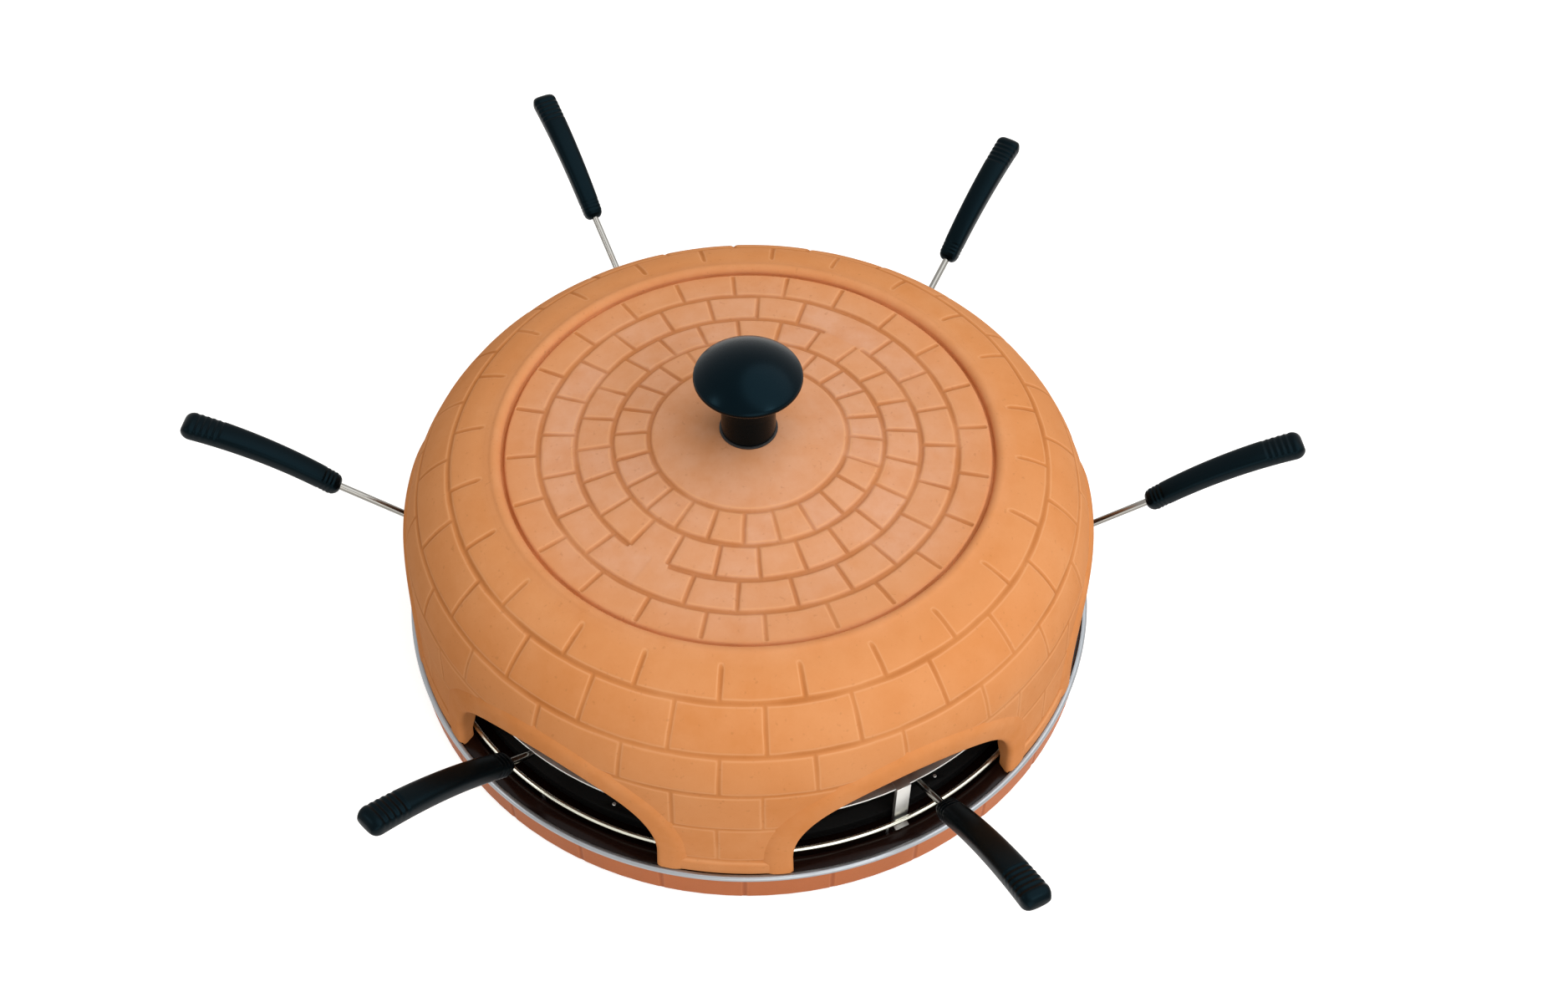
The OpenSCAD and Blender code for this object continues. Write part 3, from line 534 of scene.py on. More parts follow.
def turned_solid(name, outline, columns, finish, smooth_below=SMOOTH):
    """A solid whose outline starts and ends on the axis."""
    angles = np.radians(np.arange(columns) * 360 / columns)
    points, faces = skin_rings(round_points(outline[1:-1, [0]], angles[None], outline[1:-1, [1]]))
    points[-2], points[-1] = (0, 0, outline[0][1]), (0, 0, outline[-1][1])
    return new_piece(name, points, faces, finish, smooth_below)


print("helpers for pieces that are turned or swept")

# %% [markdown]
# ## The clay shell
# On the real dome the clay is pressed in a mould: a shallow crown with four rings of bricks, a round bead
# at the ridge, a shoulder and a wall with five courses, and a smooth strip at the foot. A sculpted or voxel
# mesh could show it, but the pattern follows rules, so the shell is a grid: rows follow the outline,
# columns go round, and both crowd together where a groove will run. Each point stores how far it lies from
# the nearest course line and joint.

# %% Outline of the dome
FOOT_R, FOOT_Z = 212.0, 24.2
SPRING_R, SPRING_Z = 207.5, 94.0
RIDGE_R, RIDGE_Z = 152.0, 153.5
CLAY_T = 8.5
lean = math.atan2(FOOT_R - SPRING_R, SPRING_Z - FOOT_Z)
run_r, run_z = RIDGE_R - SPRING_R, RIDGE_Z - SPRING_Z
SHOULDER_R = -(run_r ** 2 + run_z ** 2) / (2 * (run_r * math.cos(lean) + run_z * math.sin(lean)))
SHOULDER_X = SPRING_R - SHOULDER_R * math.cos(lean)
SHOULDER_Z = SPRING_Z - SHOULDER_R * math.sin(lean)
SHOULDER_TOP = 79.6
BEAD_X, BEAD_Z, BEAD_R = 148.5, 150.98, 4.2
PLINTH_OUT, PLINTH_FOOT, PLINTH_TOP = 1.2, (25.5, 26.4), (35.4, 37.6)
CROWN_R, CROWN_Z = (4, 18, 58, 101, 144), (165, 165, 159.54, 153.3, 152.3)
CROWN_END, CROWN_STEP, SMOOTHING = 141.1, 0.5, 25
GROOVE = ((141.6, 152.1), (142.2, 151.6), (142.8, 150.8), (143.4, 150.1), (143.9, 149.9), (144.2, 150.2))
RIDGE_ROLL = ((151.7, 154.1), (152.6, 153.78), (153.6, 153.52))
FOOT_SOFT, FOOT_EDGE = 0.5, ((FOOT_R - 0.1, FOOT_Z + 0.3), (FOOT_R - 0.5, FOOT_Z))
# Start and stop in degrees with the number of points, then the numbers of points on the shoulder and the wall
BEAD_ARC, SHOULDER_POINTS, WALL_POINTS = (178, 52, 40), 240, 220


def shell_radius(z, inset=0.0):
    """Radius of the clay's outer face at a height, or of a face further in."""
    z = np.asarray(z, float)
    wall = FOOT_R - inset + (SPRING_R - FOOT_R) * (z - FOOT_Z) / (SPRING_Z - FOOT_Z)
    rise = np.clip(z - SHOULDER_Z, 0, SHOULDER_R - inset - 0.01)
    return np.where(z < SPRING_Z, wall, SHOULDER_X + np.sqrt((SHOULDER_R - inset) ** 2 - rise ** 2))


def plinth(z):
    return PLINTH_OUT * soft_step(z, *PLINTH_FOOT) * (1 - soft_step(z, *PLINTH_TOP))


crown_r = np.arange(CROWN_R[0], CROWN_END, CROWN_STEP)
crown_z = np.interp(crown_r, CROWN_R, CROWN_Z)
crown_z[SMOOTHING // 2:-(SMOOTHING // 2)] = np.convolve(crown_z, np.ones(SMOOTHING) / SMOOTHING, "valid")
wall_z = np.linspace(SPRING_Z, FOOT_Z + FOOT_SOFT, WALL_POINTS)[1:]
outline = np.vstack([
    np.column_stack([crown_r, crown_z]), GROOVE, arc(BEAD_X, BEAD_Z, BEAD_R, *BEAD_ARC), RIDGE_ROLL,
    arc(SHOULDER_X, SHOULDER_Z, SHOULDER_R, SHOULDER_TOP, math.degrees(lean), SHOULDER_POINTS),
    np.column_stack([shell_radius(wall_z) + plinth(wall_z), wall_z]), FOOT_EDGE])
travel = np.concatenate([[0], np.cumsum(np.hypot(*np.diff(outline, axis=0).T))])
print("outline of", len(outline), "points,", round(travel[-1]), "mm long")

# %% [markdown]
# ### Rows and columns
# Course lines lie at fixed places along the outline. Around each line seven rows are close together, and
# around each joint seven columns. Real bricks are set by hand, so each joint leans a little off its place:
# a fixed seed makes the same small errors every time.

# %% Rows at the course lines
RING_LINES, SHOULDER_LINES, WALL_LINES = (58.0, 79.5, 101.0, 122.5), (60, 34, 10.6), (70, 38)
LINE_DEPTHS = (1.5, 1.6, 1.6, 1.6, 1.1, 0.9, 0.7, 0.6, 0.7)
CLUSTER = np.array([-3.0, -1.9, -0.9, 0, 0.9, 1.9, 3.0])
DISC_R, CROWN_RIM = 18, 140.6
RIDGE_ROWS, ROW_PITCH, ROW_MARGIN, CLOSEST = 24, 5.5, 4, 0.2


def travel_near(r, z):
    return float(travel[np.argmin(np.hypot(outline[:, 0] - r, outline[:, 1] - z))])


def travel_on_crown(r):
    return float(np.interp(r, crown_r, travel[:len(crown_r)]))


def travel_on_shoulder(angle):
    angle = math.radians(angle)
    return travel_near(SHOULDER_X + SHOULDER_R * math.cos(angle), SHOULDER_Z + SHOULDER_R * math.sin(angle))


def travel_on_wall(z):
    wall = outline[:, 1] < SPRING_Z
    return float(np.interp(-z, -outline[wall, 1], travel[wall]))


lines = [*map(travel_on_crown, RING_LINES), *map(travel_on_shoulder, SHOULDER_LINES),
         *map(travel_on_wall, WALL_LINES)]
ridge_start, shell_start = travel_on_crown(CROWN_RIM), travel_on_shoulder(SHOULDER_TOP)
stops = [0.0, travel_on_crown(DISC_R), *sorted(lines + [ridge_start, shell_start]), travel[-1]]
rows = [0.0, travel[-1], travel[-2]]
for first, last in zip(stops[:-1], stops[1:]):
    if first == ridge_start:
        rows += list(np.linspace(first, last, RIDGE_ROWS))
    else:
        count = max(3, int((last - first) / ROW_PITCH))
        rows += list(np.linspace(first + ROW_MARGIN, last - ROW_MARGIN, count))
for line in lines:
    rows += list(line + CLUSTER)
rows = np.array(sorted(set(np.round(np.clip(rows, 0, travel[-1]), 3))))
rows = rows[np.concatenate([[True], np.diff(rows) > CLOSEST])]
row_r, row_z = np.interp(rows, travel, outline[:, 0]), np.interp(rows, travel, outline[:, 1])
slope_r, slope_z = np.gradient(row_r), np.gradient(row_z)
length = np.hypot(slope_r, slope_z)
out_r, out_z = -slope_z / length, slope_r / length
rings = len(RING_LINES)
course_edges = np.array(lines[:rings] + [ridge_start, shell_start] + lines[rings:])
course = np.searchsorted(course_edges, rows, side="right")
print(len(rows), "rows; courses", sorted(set(course.tolist())))

# %% Column directions for every row
BRICKS = 24
SECTOR = 360 / BRICKS
FRONT = 270
RUNNING_A = {1: -0.5, 3: -1.0, 6: -3.5, 8: -3.5, 10: -3.5}
RUNNING_B = {2: 5.3, 4: 5.7, 7: 4.0, 9: 4.0}
JOINT_CLUSTER = np.array([-2.5, -1.6, -0.75, 0, 0.75, 1.6, 2.5])
BETWEEN = np.array([0.25, 0.5, 0.75])
JOINT_ERROR = 0.7
SPREAD_R = 60
chance = np.random.default_rng(24)


def joint_places(phases):
    """Direction of each joint at every row, steady inside its own courses and easing over in between."""
    keys, values = [], []
    for number, phase in sorted(phases.items()):
        place = FRONT + phase + SECTOR * np.arange(BRICKS) + chance.uniform(-JOINT_ERROR, JOINT_ERROR, BRICKS)
        keys += [course_edges[number - 1], course_edges[number] if number < len(course_edges) else travel[-1]]
        values += [place, place]
    values = np.array(values)
    return np.column_stack([np.interp(rows, keys, values[:, b]) for b in range(BRICKS)])


joints_a, joints_b = joint_places(RUNNING_A), joint_places(RUNNING_B)
cluster = np.degrees(JOINT_CLUSTER / np.maximum(row_r, SPREAD_R)[:, None])
columns = []
for b in range(BRICKS):
    left, right = joints_a[:, [b]], joints_b[:, [b]]
    after = joints_a[:, [(b + 1) % BRICKS]] + (360 if b == BRICKS - 1 else 0)
    for here, following in ((left, right), (right, after)):
        start, stop = here + cluster[:, -1:], following + cluster[:, :1]
        columns += [here + cluster, start + (stop - start) * BETWEEN]
azimuth = np.hstack(columns)
turns = np.radians(azimuth)
print("grid", azimuth.shape, "monotone", bool((np.diff(azimuth, axis=1) > 0).all()))

# %% [markdown]
# ### Arches cut out of the grid
# Six arches pierce the wall. Each is a straight-sided opening with round corners and a flatter top. The
# grid leaves out every cell that comes close to an opening, and a moulded frame covers the cut edge later.
# Inner and outer cells are left out together, so side faces can close the hole.

# %% Distance from an arch, and the shell's faces
ARCHES = 6
ARCH_STEP = 360 / ARCHES
ARCH_FIRST = 57.5
ARCH_HALF, ARCH_SPRING = 70.0, 39.2
CORNER_R, CORNER_Y = 50.0, 20.0
TOP_R, TOP_Z = 87.386, 7.614
HOLE_EDGE = 3.5


def arch_distance(points):
    """How far points lie outside the nearest arch's outline, in mm; negative in the opening."""
    x, y, z = np.moveaxis(points, -1, 0)
    direction = np.degrees(np.arctan2(y, x))
    nearest = ARCH_FIRST + ARCH_STEP * np.round((direction - ARCH_FIRST) / ARCH_STEP)
    across = np.abs(np.hypot(x, y) * np.sin(np.radians(direction - nearest)))
    corner = np.hypot(across - CORNER_Y, z - ARCH_SPRING) - CORNER_R
    top = np.hypot(across, z - TOP_Z) - TOP_R
    in_top = across * (ARCH_SPRING - TOP_Z) < CORNER_Y * (z - TOP_Z)
    return np.where(z < ARCH_SPRING, across - ARCH_HALF, np.where(in_top, top, corner))


def shell_faces(outer_rows, inner_rows, columns, outer_first, inner_first, gone):
    """Faces of a wall with an outer and an inner skin; gone marks cells left out of the matching rows."""
    points = np.arange((outer_rows + inner_rows) * columns).reshape(-1, columns)
    outer, inner = points[:outer_rows], points[outer_rows:]

    def between(first, second):
        return np.stack([first, np.roll(first, -1, 1), np.roll(second, -1, 1), second], axis=-1)

    faces = []
    skins = ((outer, outer_first), (inner, inner_first))
    for skin, start in skins:
        kept = np.ones((len(skin) - 1, columns), bool)
        kept[start:start + len(gone)] = ~gone
        faces += between(skin[:-1], skin[1:])[kept].tolist()
    for end in (0, -1):
        faces += between(outer[[end]], inner[[end]])[0][kept[end]].tolist()
    a, b = (skin[start:start + len(gone) + 1] for skin, start in skins)
    upright = np.stack([a[:-1], a[1:], b[1:], b[:-1]], axis=-1)[gone != np.roll(gone, 1, 1)]
    level = between(a[1:-1], b[1:-1])[gone[1:] != gone[:-1]]
    return faces + upright.tolist() + level.tolist()


print(ARCHES, "arches", ARCH_STEP, "degrees apart")

# %% Points of both skins
INNER_CROWN = ((4, 155), (18, 155), (38, 152.3), (58, 149.5), (80, 146.3), (101, 143.3), (124, 142.8),
               (150, 142.3))
# Start and stop in degrees with the number of points, on the inner side of the shoulder
INNER_ARC = (69, 38, 7)
# From this course line down, the inner skin has a row for each outer row
MATCHED_LINE = 5
first_matched = int(np.searchsorted(rows, lines[MATCHED_LINE]))
below = slice(first_matched, len(rows))
inner_crown = np.vstack([INNER_CROWN, arc(SHOULDER_X, SHOULDER_Z, SHOULDER_R - CLAY_T, *INNER_ARC)])
inner_wall = np.column_stack([row_r[below] - CLAY_T * out_r[below], row_z[below] - CLAY_T * out_z[below]])
inner_wall[-1, 1] = FOOT_Z
inner_outline = np.vstack([inner_crown, inner_wall])
inner_turns = np.vstack([np.repeat(turns[[first_matched]], len(inner_crown), 0), turns[below]])
outer_points = round_points(row_r[:, None], turns, row_z[:, None])
inner_points = round_points(inner_outline[:, [0]], inner_turns, inner_outline[:, [1]])
far_out = arch_distance(outer_points[below])
corner_gap = np.minimum(far_out, np.roll(far_out, -1, axis=1))
gone = np.minimum(corner_gap[:-1], corner_gap[1:]) < HOLE_EDGE
faces = shell_faces(len(rows), len(inner_outline), turns.shape[1], first_matched, len(inner_crown), gone)
print(len(faces), "faces in the shell,", int(gone.sum()), "cells left out")

# %% [markdown]
# ### Numbers for the carving
# Every outer point gets its signed distance to the nearest course line and joint, the depth wanted there,
# the brick it belongs to and the way out of the clay. Two places on the crown are bare plaques: there the
# line between the second and third ring stops, and the third ring has no joint.

# %% Attributes for the shell
JOINT_DEPTHS = {1: 1.4, 2: 1.4, 3: 1.4, 4: 1.4, 6: 1.1, 7: 1.0, 8: 0.75, 9: 0.6, 10: 0.6}
BEAD_GROOVE, BEAD_GROOVE_DEPTH = (143.6, 149.9), 0.8
# Directions of the plaques and half their width, in degrees, then their ring and the line on its inner side
PLAQUES, PLAQUE_HALF = (237.8, 56.0), 7.7
PLAQUE_RING, PLAQUE_LINE = 3, 2
DISC_MARGIN = 6
FAR_AWAY = 50.0


def turn_gap(angle, places):
    """How far directions are from places, each in degrees, from -180 to 180."""
    return (np.asarray(angle)[..., None] - np.asarray(places) + 180) % 360 - 180


spread = np.ones(turns.shape)
offsets = rows[:, None] - np.array([*lines, travel_near(*BEAD_GROOVE)])
nearest_line = np.abs(offsets).argmin(1)
line_gap = offsets[np.arange(len(rows)), nearest_line][:, None] * spread
line_depth = np.array([*LINE_DEPTHS, BEAD_GROOVE_DEPTH])[nearest_line][:, None] * spread
joint_gap, joint_depth = FAR_AWAY * spread, 0 * spread
brick = np.zeros(turns.shape, int)
for i, number in enumerate(course.tolist()):
    if number not in JOINT_DEPTHS:
        continue
    gaps = turn_gap(azimuth[i], joints_a[i] if number in RUNNING_A else joints_b[i])
    nearest = np.abs(gaps).argmin(1)
    joint_gap[i] = np.radians(gaps[np.arange(len(nearest)), nearest]) * row_r[i]
    joint_depth[i] = JOINT_DEPTHS[number]
    brick[i] = number * 100 + np.where(gaps >= 0, gaps, 360).argmin(1)
    bare = (np.abs(turn_gap(azimuth[i], PLAQUES)) < PLAQUE_HALF).any(1)
    if number == PLAQUE_RING:
        joint_depth[i][bare] = 0
    if number in (PLAQUE_RING - 1, PLAQUE_RING) and nearest_line[i] == PLAQUE_LINE:
        line_depth[i][bare] = 0
line_depth[rows < lines[0] - DISC_MARGIN] = 0


def store(piece, **layers):
    """Stores numbers on a piece's points; values of three parts each become vectors."""
    for name, values in layers.items():
        values = np.asarray(values)
        whole = values.dtype.kind == "i"
        vector = values.shape[-1] == 3 and values.ndim > 1
        kind = "INT" if whole else "FLOAT_VECTOR" if vector else "FLOAT"
        layer = piece.data.attributes.new(name, kind, "POINT")
        flat = np.ascontiguousarray(values, np.int32 if whole else np.float32).ravel()
        layer.data.foreach_set("vector" if vector else "value", flat)


def store_skins(piece, inner, brick, way_out, **lengths):
    """Stores what the carving reads; the inner skin lies far from every groove and has no way out."""
    def with_inner(values, fill=0):
        return np.vstack([values, np.full(inner.shape[:values.ndim], fill, values.dtype)])

    store(piece, brick=with_inner(brick), way_out=with_inner(way_out))
    for name, values in lengths.items():
        store(piece, **{name: with_inner(values, FAR_AWAY if name.endswith("gap") else 0) * MM})


dome = raw_piece("dome_shell", np.vstack([outer_points, inner_points]), faces, "terracotta")
store_skins(dome, inner_points, brick, round_points(out_r[:, None], turns, out_z[:, None]), line_gap=line_gap,
            line_depth=line_depth, joint_gap=joint_gap, joint_depth=joint_depth)
print("points", len(dome.data.vertices))

# %% [markdown]
# ### Carving with Geometry Nodes
# The carving could be done in Python too, but as a node tree it has named inputs that can be turned later:
# how wide a groove is, how much its line wavers, how uneven the bricks stand and how much the hand left the
# clay swelling. The tree reads the stored numbers, moves each point along its way out, and stores the depth
# for the material.

# %% The carving tree
NUMBER, WHOLE = "NodeSocketFloat", "NodeSocketInt"
JOIN_SOFTLY = 0.3 * MM
WAVER_SCALE, WORN_SCALE, SWELL_SCALE = 70.0, 26.0, 22.0


def new_tree(name, **inputs):
    tree = bpy.data.node_groups.new(name, "GeometryNodeTree")
    tree.interface.new_socket("Geometry", in_out="INPUT", socket_type="NodeSocketGeometry")
    tree.interface.new_socket("Geometry", in_out="OUTPUT", socket_type="NodeSocketGeometry")
    for label, kind in (*inputs.items(), ("Material", "NodeSocketMaterial")):
        tree.interface.new_socket(label.replace("_", " "), in_out="INPUT", socket_type=kind)
    return tree, add(tree, "NodeGroupInput").outputs


def close_tree(tree, given, shape):
    whole = add(tree, "GeometryNodeRealizeInstances", {"Geometry": shape.outputs[0]}).outputs[0]
    coated = add(tree, "GeometryNodeSetMaterial", {"Geometry": whole, "Material": given["Material"]})
    add(tree, "NodeGroupOutput", {"Geometry": coated.outputs[0]})


def read(tree, name, kind="FLOAT"):
    return add(tree, "GeometryNodeInputNamedAttribute", {"Name": name}, data_type=kind).outputs[0]


def pushed(tree, given, amount):
    """Every point moved by an amount along its own way out."""
    push = add(tree, "ShaderNodeVectorMath", {0: read(tree, "way_out", "FLOAT_VECTOR"), "Scale": amount},
               operation="SCALE")
    return add(tree, "GeometryNodeSetPosition", {"Geometry": given["Geometry"], "Offset": push.outputs[0]})


def marked(tree, shape, name, value):
    inputs = {"Geometry": shape.outputs[0], "Name": name, "Value": value}
    return add(tree, "GeometryNodeStoreNamedAttribute", inputs, data_type="FLOAT", domain="POINT")


carving, given = new_tree(
    "carve brick courses", Groove_half_width=NUMBER, Joint_half_width=NUMBER, Wobble=NUMBER,
    Unevenness=NUMBER, Hand_swell=NUMBER, Fading=NUMBER, Full_depth=NUMBER, Seed=WHOLE)
calc, fit, cloud = shorthand(carving)
spot = add(carving, "GeometryNodeInputPosition").outputs[0]
waver = calc("MULTIPLY", calc("SUBTRACT", cloud(spot, WAVER_SCALE), 0.5), given["Wobble"])
grooves = []
for label, width in (("line", given["Groove half width"]), ("joint", given["Joint half width"])):
    away = calc("ABSOLUTE", calc("ADD", read(carving, f"{label}_gap"), waver))
    profile = fit(away, 0.0, width, 1.0, 0.0, "SMOOTHSTEP")
    grooves.append(calc("MULTIPLY", profile, read(carving, f"{label}_depth")))
worn_off = calc("MULTIPLY", fit(cloud(spot, WORN_SCALE, seed=3.0), 0.38, 0.62), given["Fading"])
cut = calc("MULTIPLY", calc("SMOOTH_MAX", *grooves, JOIN_SOFTLY), calc("SUBTRACT", 1.0, worn_off))
draw = add(carving, "FunctionNodeRandomValue",
           {2: 0.0, 3: 1.0, 7: read(carving, "brick", "INT"), 8: given["Seed"]}, data_type="FLOAT")
own = draw.outputs[1]
uneven = calc("MULTIPLY", calc("SUBTRACT", own, 0.5), given["Unevenness"])
swell = calc("MULTIPLY", calc("SUBTRACT", cloud(spot, SWELL_SCALE, 3.0), 0.5), given["Hand swell"])
carved = pushed(carving, given, calc("SUBTRACT", calc("ADD", uneven, swell), cut))
carved = marked(carving, carved, "carve", calc("DIVIDE", cut, given["Full depth"]))
close_tree(carving, given, marked(carving, carved, "brick_tint", own))


def keep_result(piece):
    """Replaces a piece's mesh by what its modifiers make of it."""
    graph = bpy.context.evaluated_depsgraph_get()
    mesh = bpy.data.meshes.new_from_object(piece.evaluated_get(graph), preserve_all_data_layers=True,
                                           depsgraph=graph)
    piece.modifiers.clear()
    spare, piece.data = piece.data, mesh
    bpy.data.meshes.remove(spare)
    mesh.name = piece.name


def run_tree(piece, tree, finish, smooth_below, **values):
    """Runs a tree on a piece with named inputs, and keeps the result as a plain mesh."""
    modifier = piece.modifiers.new(tree.name, "NODES")
    modifier.node_group = tree
    sockets = {item.name: item.identifier for item in tree.interface.items_tree if item.in_out == "INPUT"}
    for label, value in values.items():
        modifier[sockets[label.replace("_", " ")]] = value
    modifier[sockets["Material"]] = finishes[finish]
    keep_result(piece)
    tidy_mesh(piece.data, smooth_below)
    return piece


print("carving tree of", len(carving.nodes), "nodes")

# %% Carve the dome
GROOVES = {"Groove_half_width": 2.8 * MM, "Joint_half_width": 2.2 * MM, "Seed": 5}
run_tree(dome, carving, "terracotta", SMOOTH_CLAY, **GROOVES, Wobble=0.9 * MM, Unevenness=0.4 * MM,
         Hand_swell=0.9 * MM, Fading=0.45, Full_depth=0.95 * MM)
for label in ("line_gap", "line_depth", "joint_gap", "joint_depth", "brick", "way_out"):
    dome.data.attributes.remove(dome.data.attributes[label])
settle(dome, "dome", "terracotta", "dome")

# %% [markdown]
# ## Frames round the arches
# Round each opening the clay is a smooth raised band that rolls over into the jamb. The cut edge of the
# grid would show steps there, so the band is a piece of its own: a rounded section is swept along the
# outline of the opening, from the outer face over the edge to the inner face. One frame is made, and a
# small node tree copies it round the axis.

# %% Sweep one arch frame
BAND_OUT = 1.9
BAND_FACE = ((17.2, -1), (16.2, -0.3), (15, 0.6), (13.6, 1.3), (11.8, 1.75), (9.4, BAND_OUT), (6.8, BAND_OUT))
BAND_FOOT, SWELL_FOOT = (25.5, 26.6), (31.0, 40.0)
EDGE_R, EDGE_POINTS, INNER_EDGE_R, INNER_EDGE_POINTS = 4.5, 8, 2.0, 5
JAMB_SHARES, INNER_PLACES, LAP_SUNK = (0.3, 0.65), (5.0, 8.0), -1.0
INNER_LAP, INNER_OUT, INNER_SWELL = 11.0, 0.4, 3.6
FOOT_STEPS = np.array([0, 0.5, 1.0, 1.4, 1.8, 2.4, 3.4, 5.2, 8, 11.5])
FOOT_SHARE = 0.95
top_from = math.degrees(math.atan2(ARCH_SPRING - TOP_Z, -CORNER_Y))
ARCH_ARCS = ((-CORNER_Y, ARCH_SPRING, CORNER_R, 180, top_from, 16), (0, TOP_Z, TOP_R, top_from, 90, 21))


def arch_stations():
    """Places along the opening with the direction away from it: across, height, out across, out height."""
    left = [(-ARCH_HALF, z, -1.0, 0.0) for z in FOOT_Z + FOOT_STEPS]
    for y, z, radius, start, stop, count in ARCH_ARCS:
        for way in arc(0, 0, 1, start, stop, count)[:-1]:
            left.append((y + radius * way[0], z + radius * way[1], *way))
    right = [(-y, z, -out_y, out_z) for y, z, out_y, out_z in reversed(left)]
    return left + [(0.0, TOP_Z + TOP_R, 0.0, 1.0)] + right


def arch_section(y, z, out_y, out_z):
    """One ring of the frame at a station: outer band, rolled edge, jamb, inner lap."""
    def on_face(away, proud, inset):
        across, height = y + away * out_y, z + away * out_z
        return np.array([math.sqrt((shell_radius(height, inset) + proud) ** 2 - across ** 2), across, height])

    def outside(away, proud):
        return on_face(away, proud * soft_step(z + away * out_z, *BAND_FOOT) if proud > 0 else proud, 0.0)

    def inside(away, proud):
        swell = INNER_SWELL * soft_step(z + away * out_z, *SWELL_FOOT) if away < INNER_LAP else 0
        return on_face(away, -proud - swell, CLAY_T)

    ring = [outside(*place) for place in BAND_FACE]
    ring += [outside(EDGE_R - up, BAND_OUT - EDGE_R + back)
             for back, up in arc(0, 0, EDGE_R, 0, 90, EDGE_POINTS)]
    edge = [inside(INNER_EDGE_R - back, INNER_OUT - INNER_EDGE_R + up)
            for back, up in arc(0, 0, INNER_EDGE_R, 0, 90, INNER_EDGE_POINTS)]
    for share in JAMB_SHARES:
        ring.append(ring[-1] * (1 - share) + edge[0] * share)
    lap = [inside(away, INNER_OUT) for away in INNER_PLACES]
    return np.array(ring + edge + lap + [inside(INNER_LAP, LAP_SUNK)])


frame_rings = np.array([arch_section(*station) for station in arch_stations()])
for end in (0, -1):
    middle = frame_rings[end, :, :2].mean(0)
    frame_rings[end, :, :2] = middle + (frame_rings[end, :, :2] - middle) * FOOT_SHARE
print("arch frame of", len(frame_rings), "stations")

# %% A tree that copies a piece round the axis
copying, given = new_tree("copies round the axis", Count=WHOLE, First_angle=NUMBER)
calc = partial(maths, copying)
dots = add(copying, "GeometryNodePoints", {"Count": given["Count"]})
share = calc("DIVIDE", add(copying, "GeometryNodeInputIndex").outputs[0], given["Count"])
angle = calc("MULTIPLY_ADD", share, 2 * math.pi, given["First angle"])
turn = add(copying, "ShaderNodeCombineXYZ", {"Z": angle})
close_tree(copying, given, add(copying, "GeometryNodeInstanceOnPoints", {
    "Points": dots.outputs[0], "Instance": given["Geometry"], "Rotation": turn.outputs[0]}))


def copied_round(piece, count, first, finish, smooth_below=SMOOTH):
    return run_tree(piece, copying, finish, smooth_below, Count=count, First_angle=math.radians(first))


arches = new_piece("dome_arches", *skin_rings(frame_rings), "terracotta", SMOOTH_CLAY)
settle(copied_round(arches, ARCHES, ARCH_FIRST, "terracotta", SMOOTH_CLAY), "dome", "terracotta")

# %% [markdown]
# ## The drum band
# The base is a low drum of painted sheet metal with shallow upright joints, as if it were a course of
# bricks. It is turned round the axis as an outer and an inner skin, with columns crowded at the joints, and
# two holes are left at the back for the switch and the cord gland. The same carving tree presses the joints
# in.

# %% Drum with joints and two holes
DRUM_JOINTS, DRUM_JOINT_AT, DRUM_ERROR, DRUM_DEPTH = 27, 270.8, 0.3, 0.55
DRUM_STEP = 360 / DRUM_JOINTS
DRUM_R, SHEET = 215.0, 1.2
# Direction in degrees, half width, lower and upper edge: for the switch, then for the gland
HOLES = ((75.0, 10.3, 5.3, 15.3), (100.0, 5.7, 6.7, 18.1))
HOLE_CLEAR = 0.2
WALL_ROWS = np.array([4.4, 5.3, 6.7, 9.0, 12.0, 15.3, 18.1, 20.5, 22.0])
OUTER_FOOT = ((200, 2.5), (207, 2.5), (213.6, 2.5), (214.4, 2.7), (214.9, 3.3))
OUTER_TOP = ((214.8, 22.6), (214.3, 23.0), (209, 23.0), (204.5, 23.0))
INNER_FOOT, INNER_TOP = ((200, 3.7), (207, 3.7), (213.8, 3.7)), ((213.8, 21.8), (204.5, 21.8))
drum_outer = np.vstack([OUTER_FOOT, [(DRUM_R, z) for z in WALL_ROWS], OUTER_TOP])
drum_inner = np.vstack([INNER_FOOT, [(DRUM_R - SHEET, z) for z in WALL_ROWS], INNER_TOP])
joint_az = DRUM_JOINT_AT - 360 + DRUM_STEP * np.arange(DRUM_JOINTS)
joint_az += chance.uniform(-DRUM_ERROR, DRUM_ERROR, DRUM_JOINTS)
beside = np.concatenate([np.degrees(JOINT_CLUSTER / DRUM_R), DRUM_STEP * BETWEEN])
drum_az = (joint_az[:, None] + beside).ravel() % 360
cell_z = (WALL_ROWS[:-1] + WALL_ROWS[1:])[:, None] / 2
for middle, half, low, high in HOLES:
    edges = middle + np.degrees(half / DRUM_R) * np.array([-1, 1])
    drum_az = np.concatenate([drum_az[np.abs(drum_az[:, None] - edges).min(1) > HOLE_CLEAR], edges])
drum_az = np.sort(drum_az)
cell_az = (drum_az + np.roll(drum_az, -1)) / 2
gone = np.zeros((len(cell_z), len(cell_az)), bool)
for middle, half, low, high in HOLES:
    gone |= (np.abs(cell_az - middle) < np.degrees(half / DRUM_R)) & (cell_z > low) & (cell_z < high)
drum_turn = np.radians(drum_az)
skins = [round_points(skin[:, [0]], drum_turn, skin[:, [1]]) for skin in (drum_outer, drum_inner)]
faces = shell_faces(len(drum_outer), len(drum_inner), len(drum_az), len(OUTER_FOOT), len(INNER_FOOT), gone)
drum = raw_piece("drum_band", np.vstack(skins), faces, "painted_band")
print("drum of", len(drum_az), "columns,", int(gone.sum()), "cells left out")

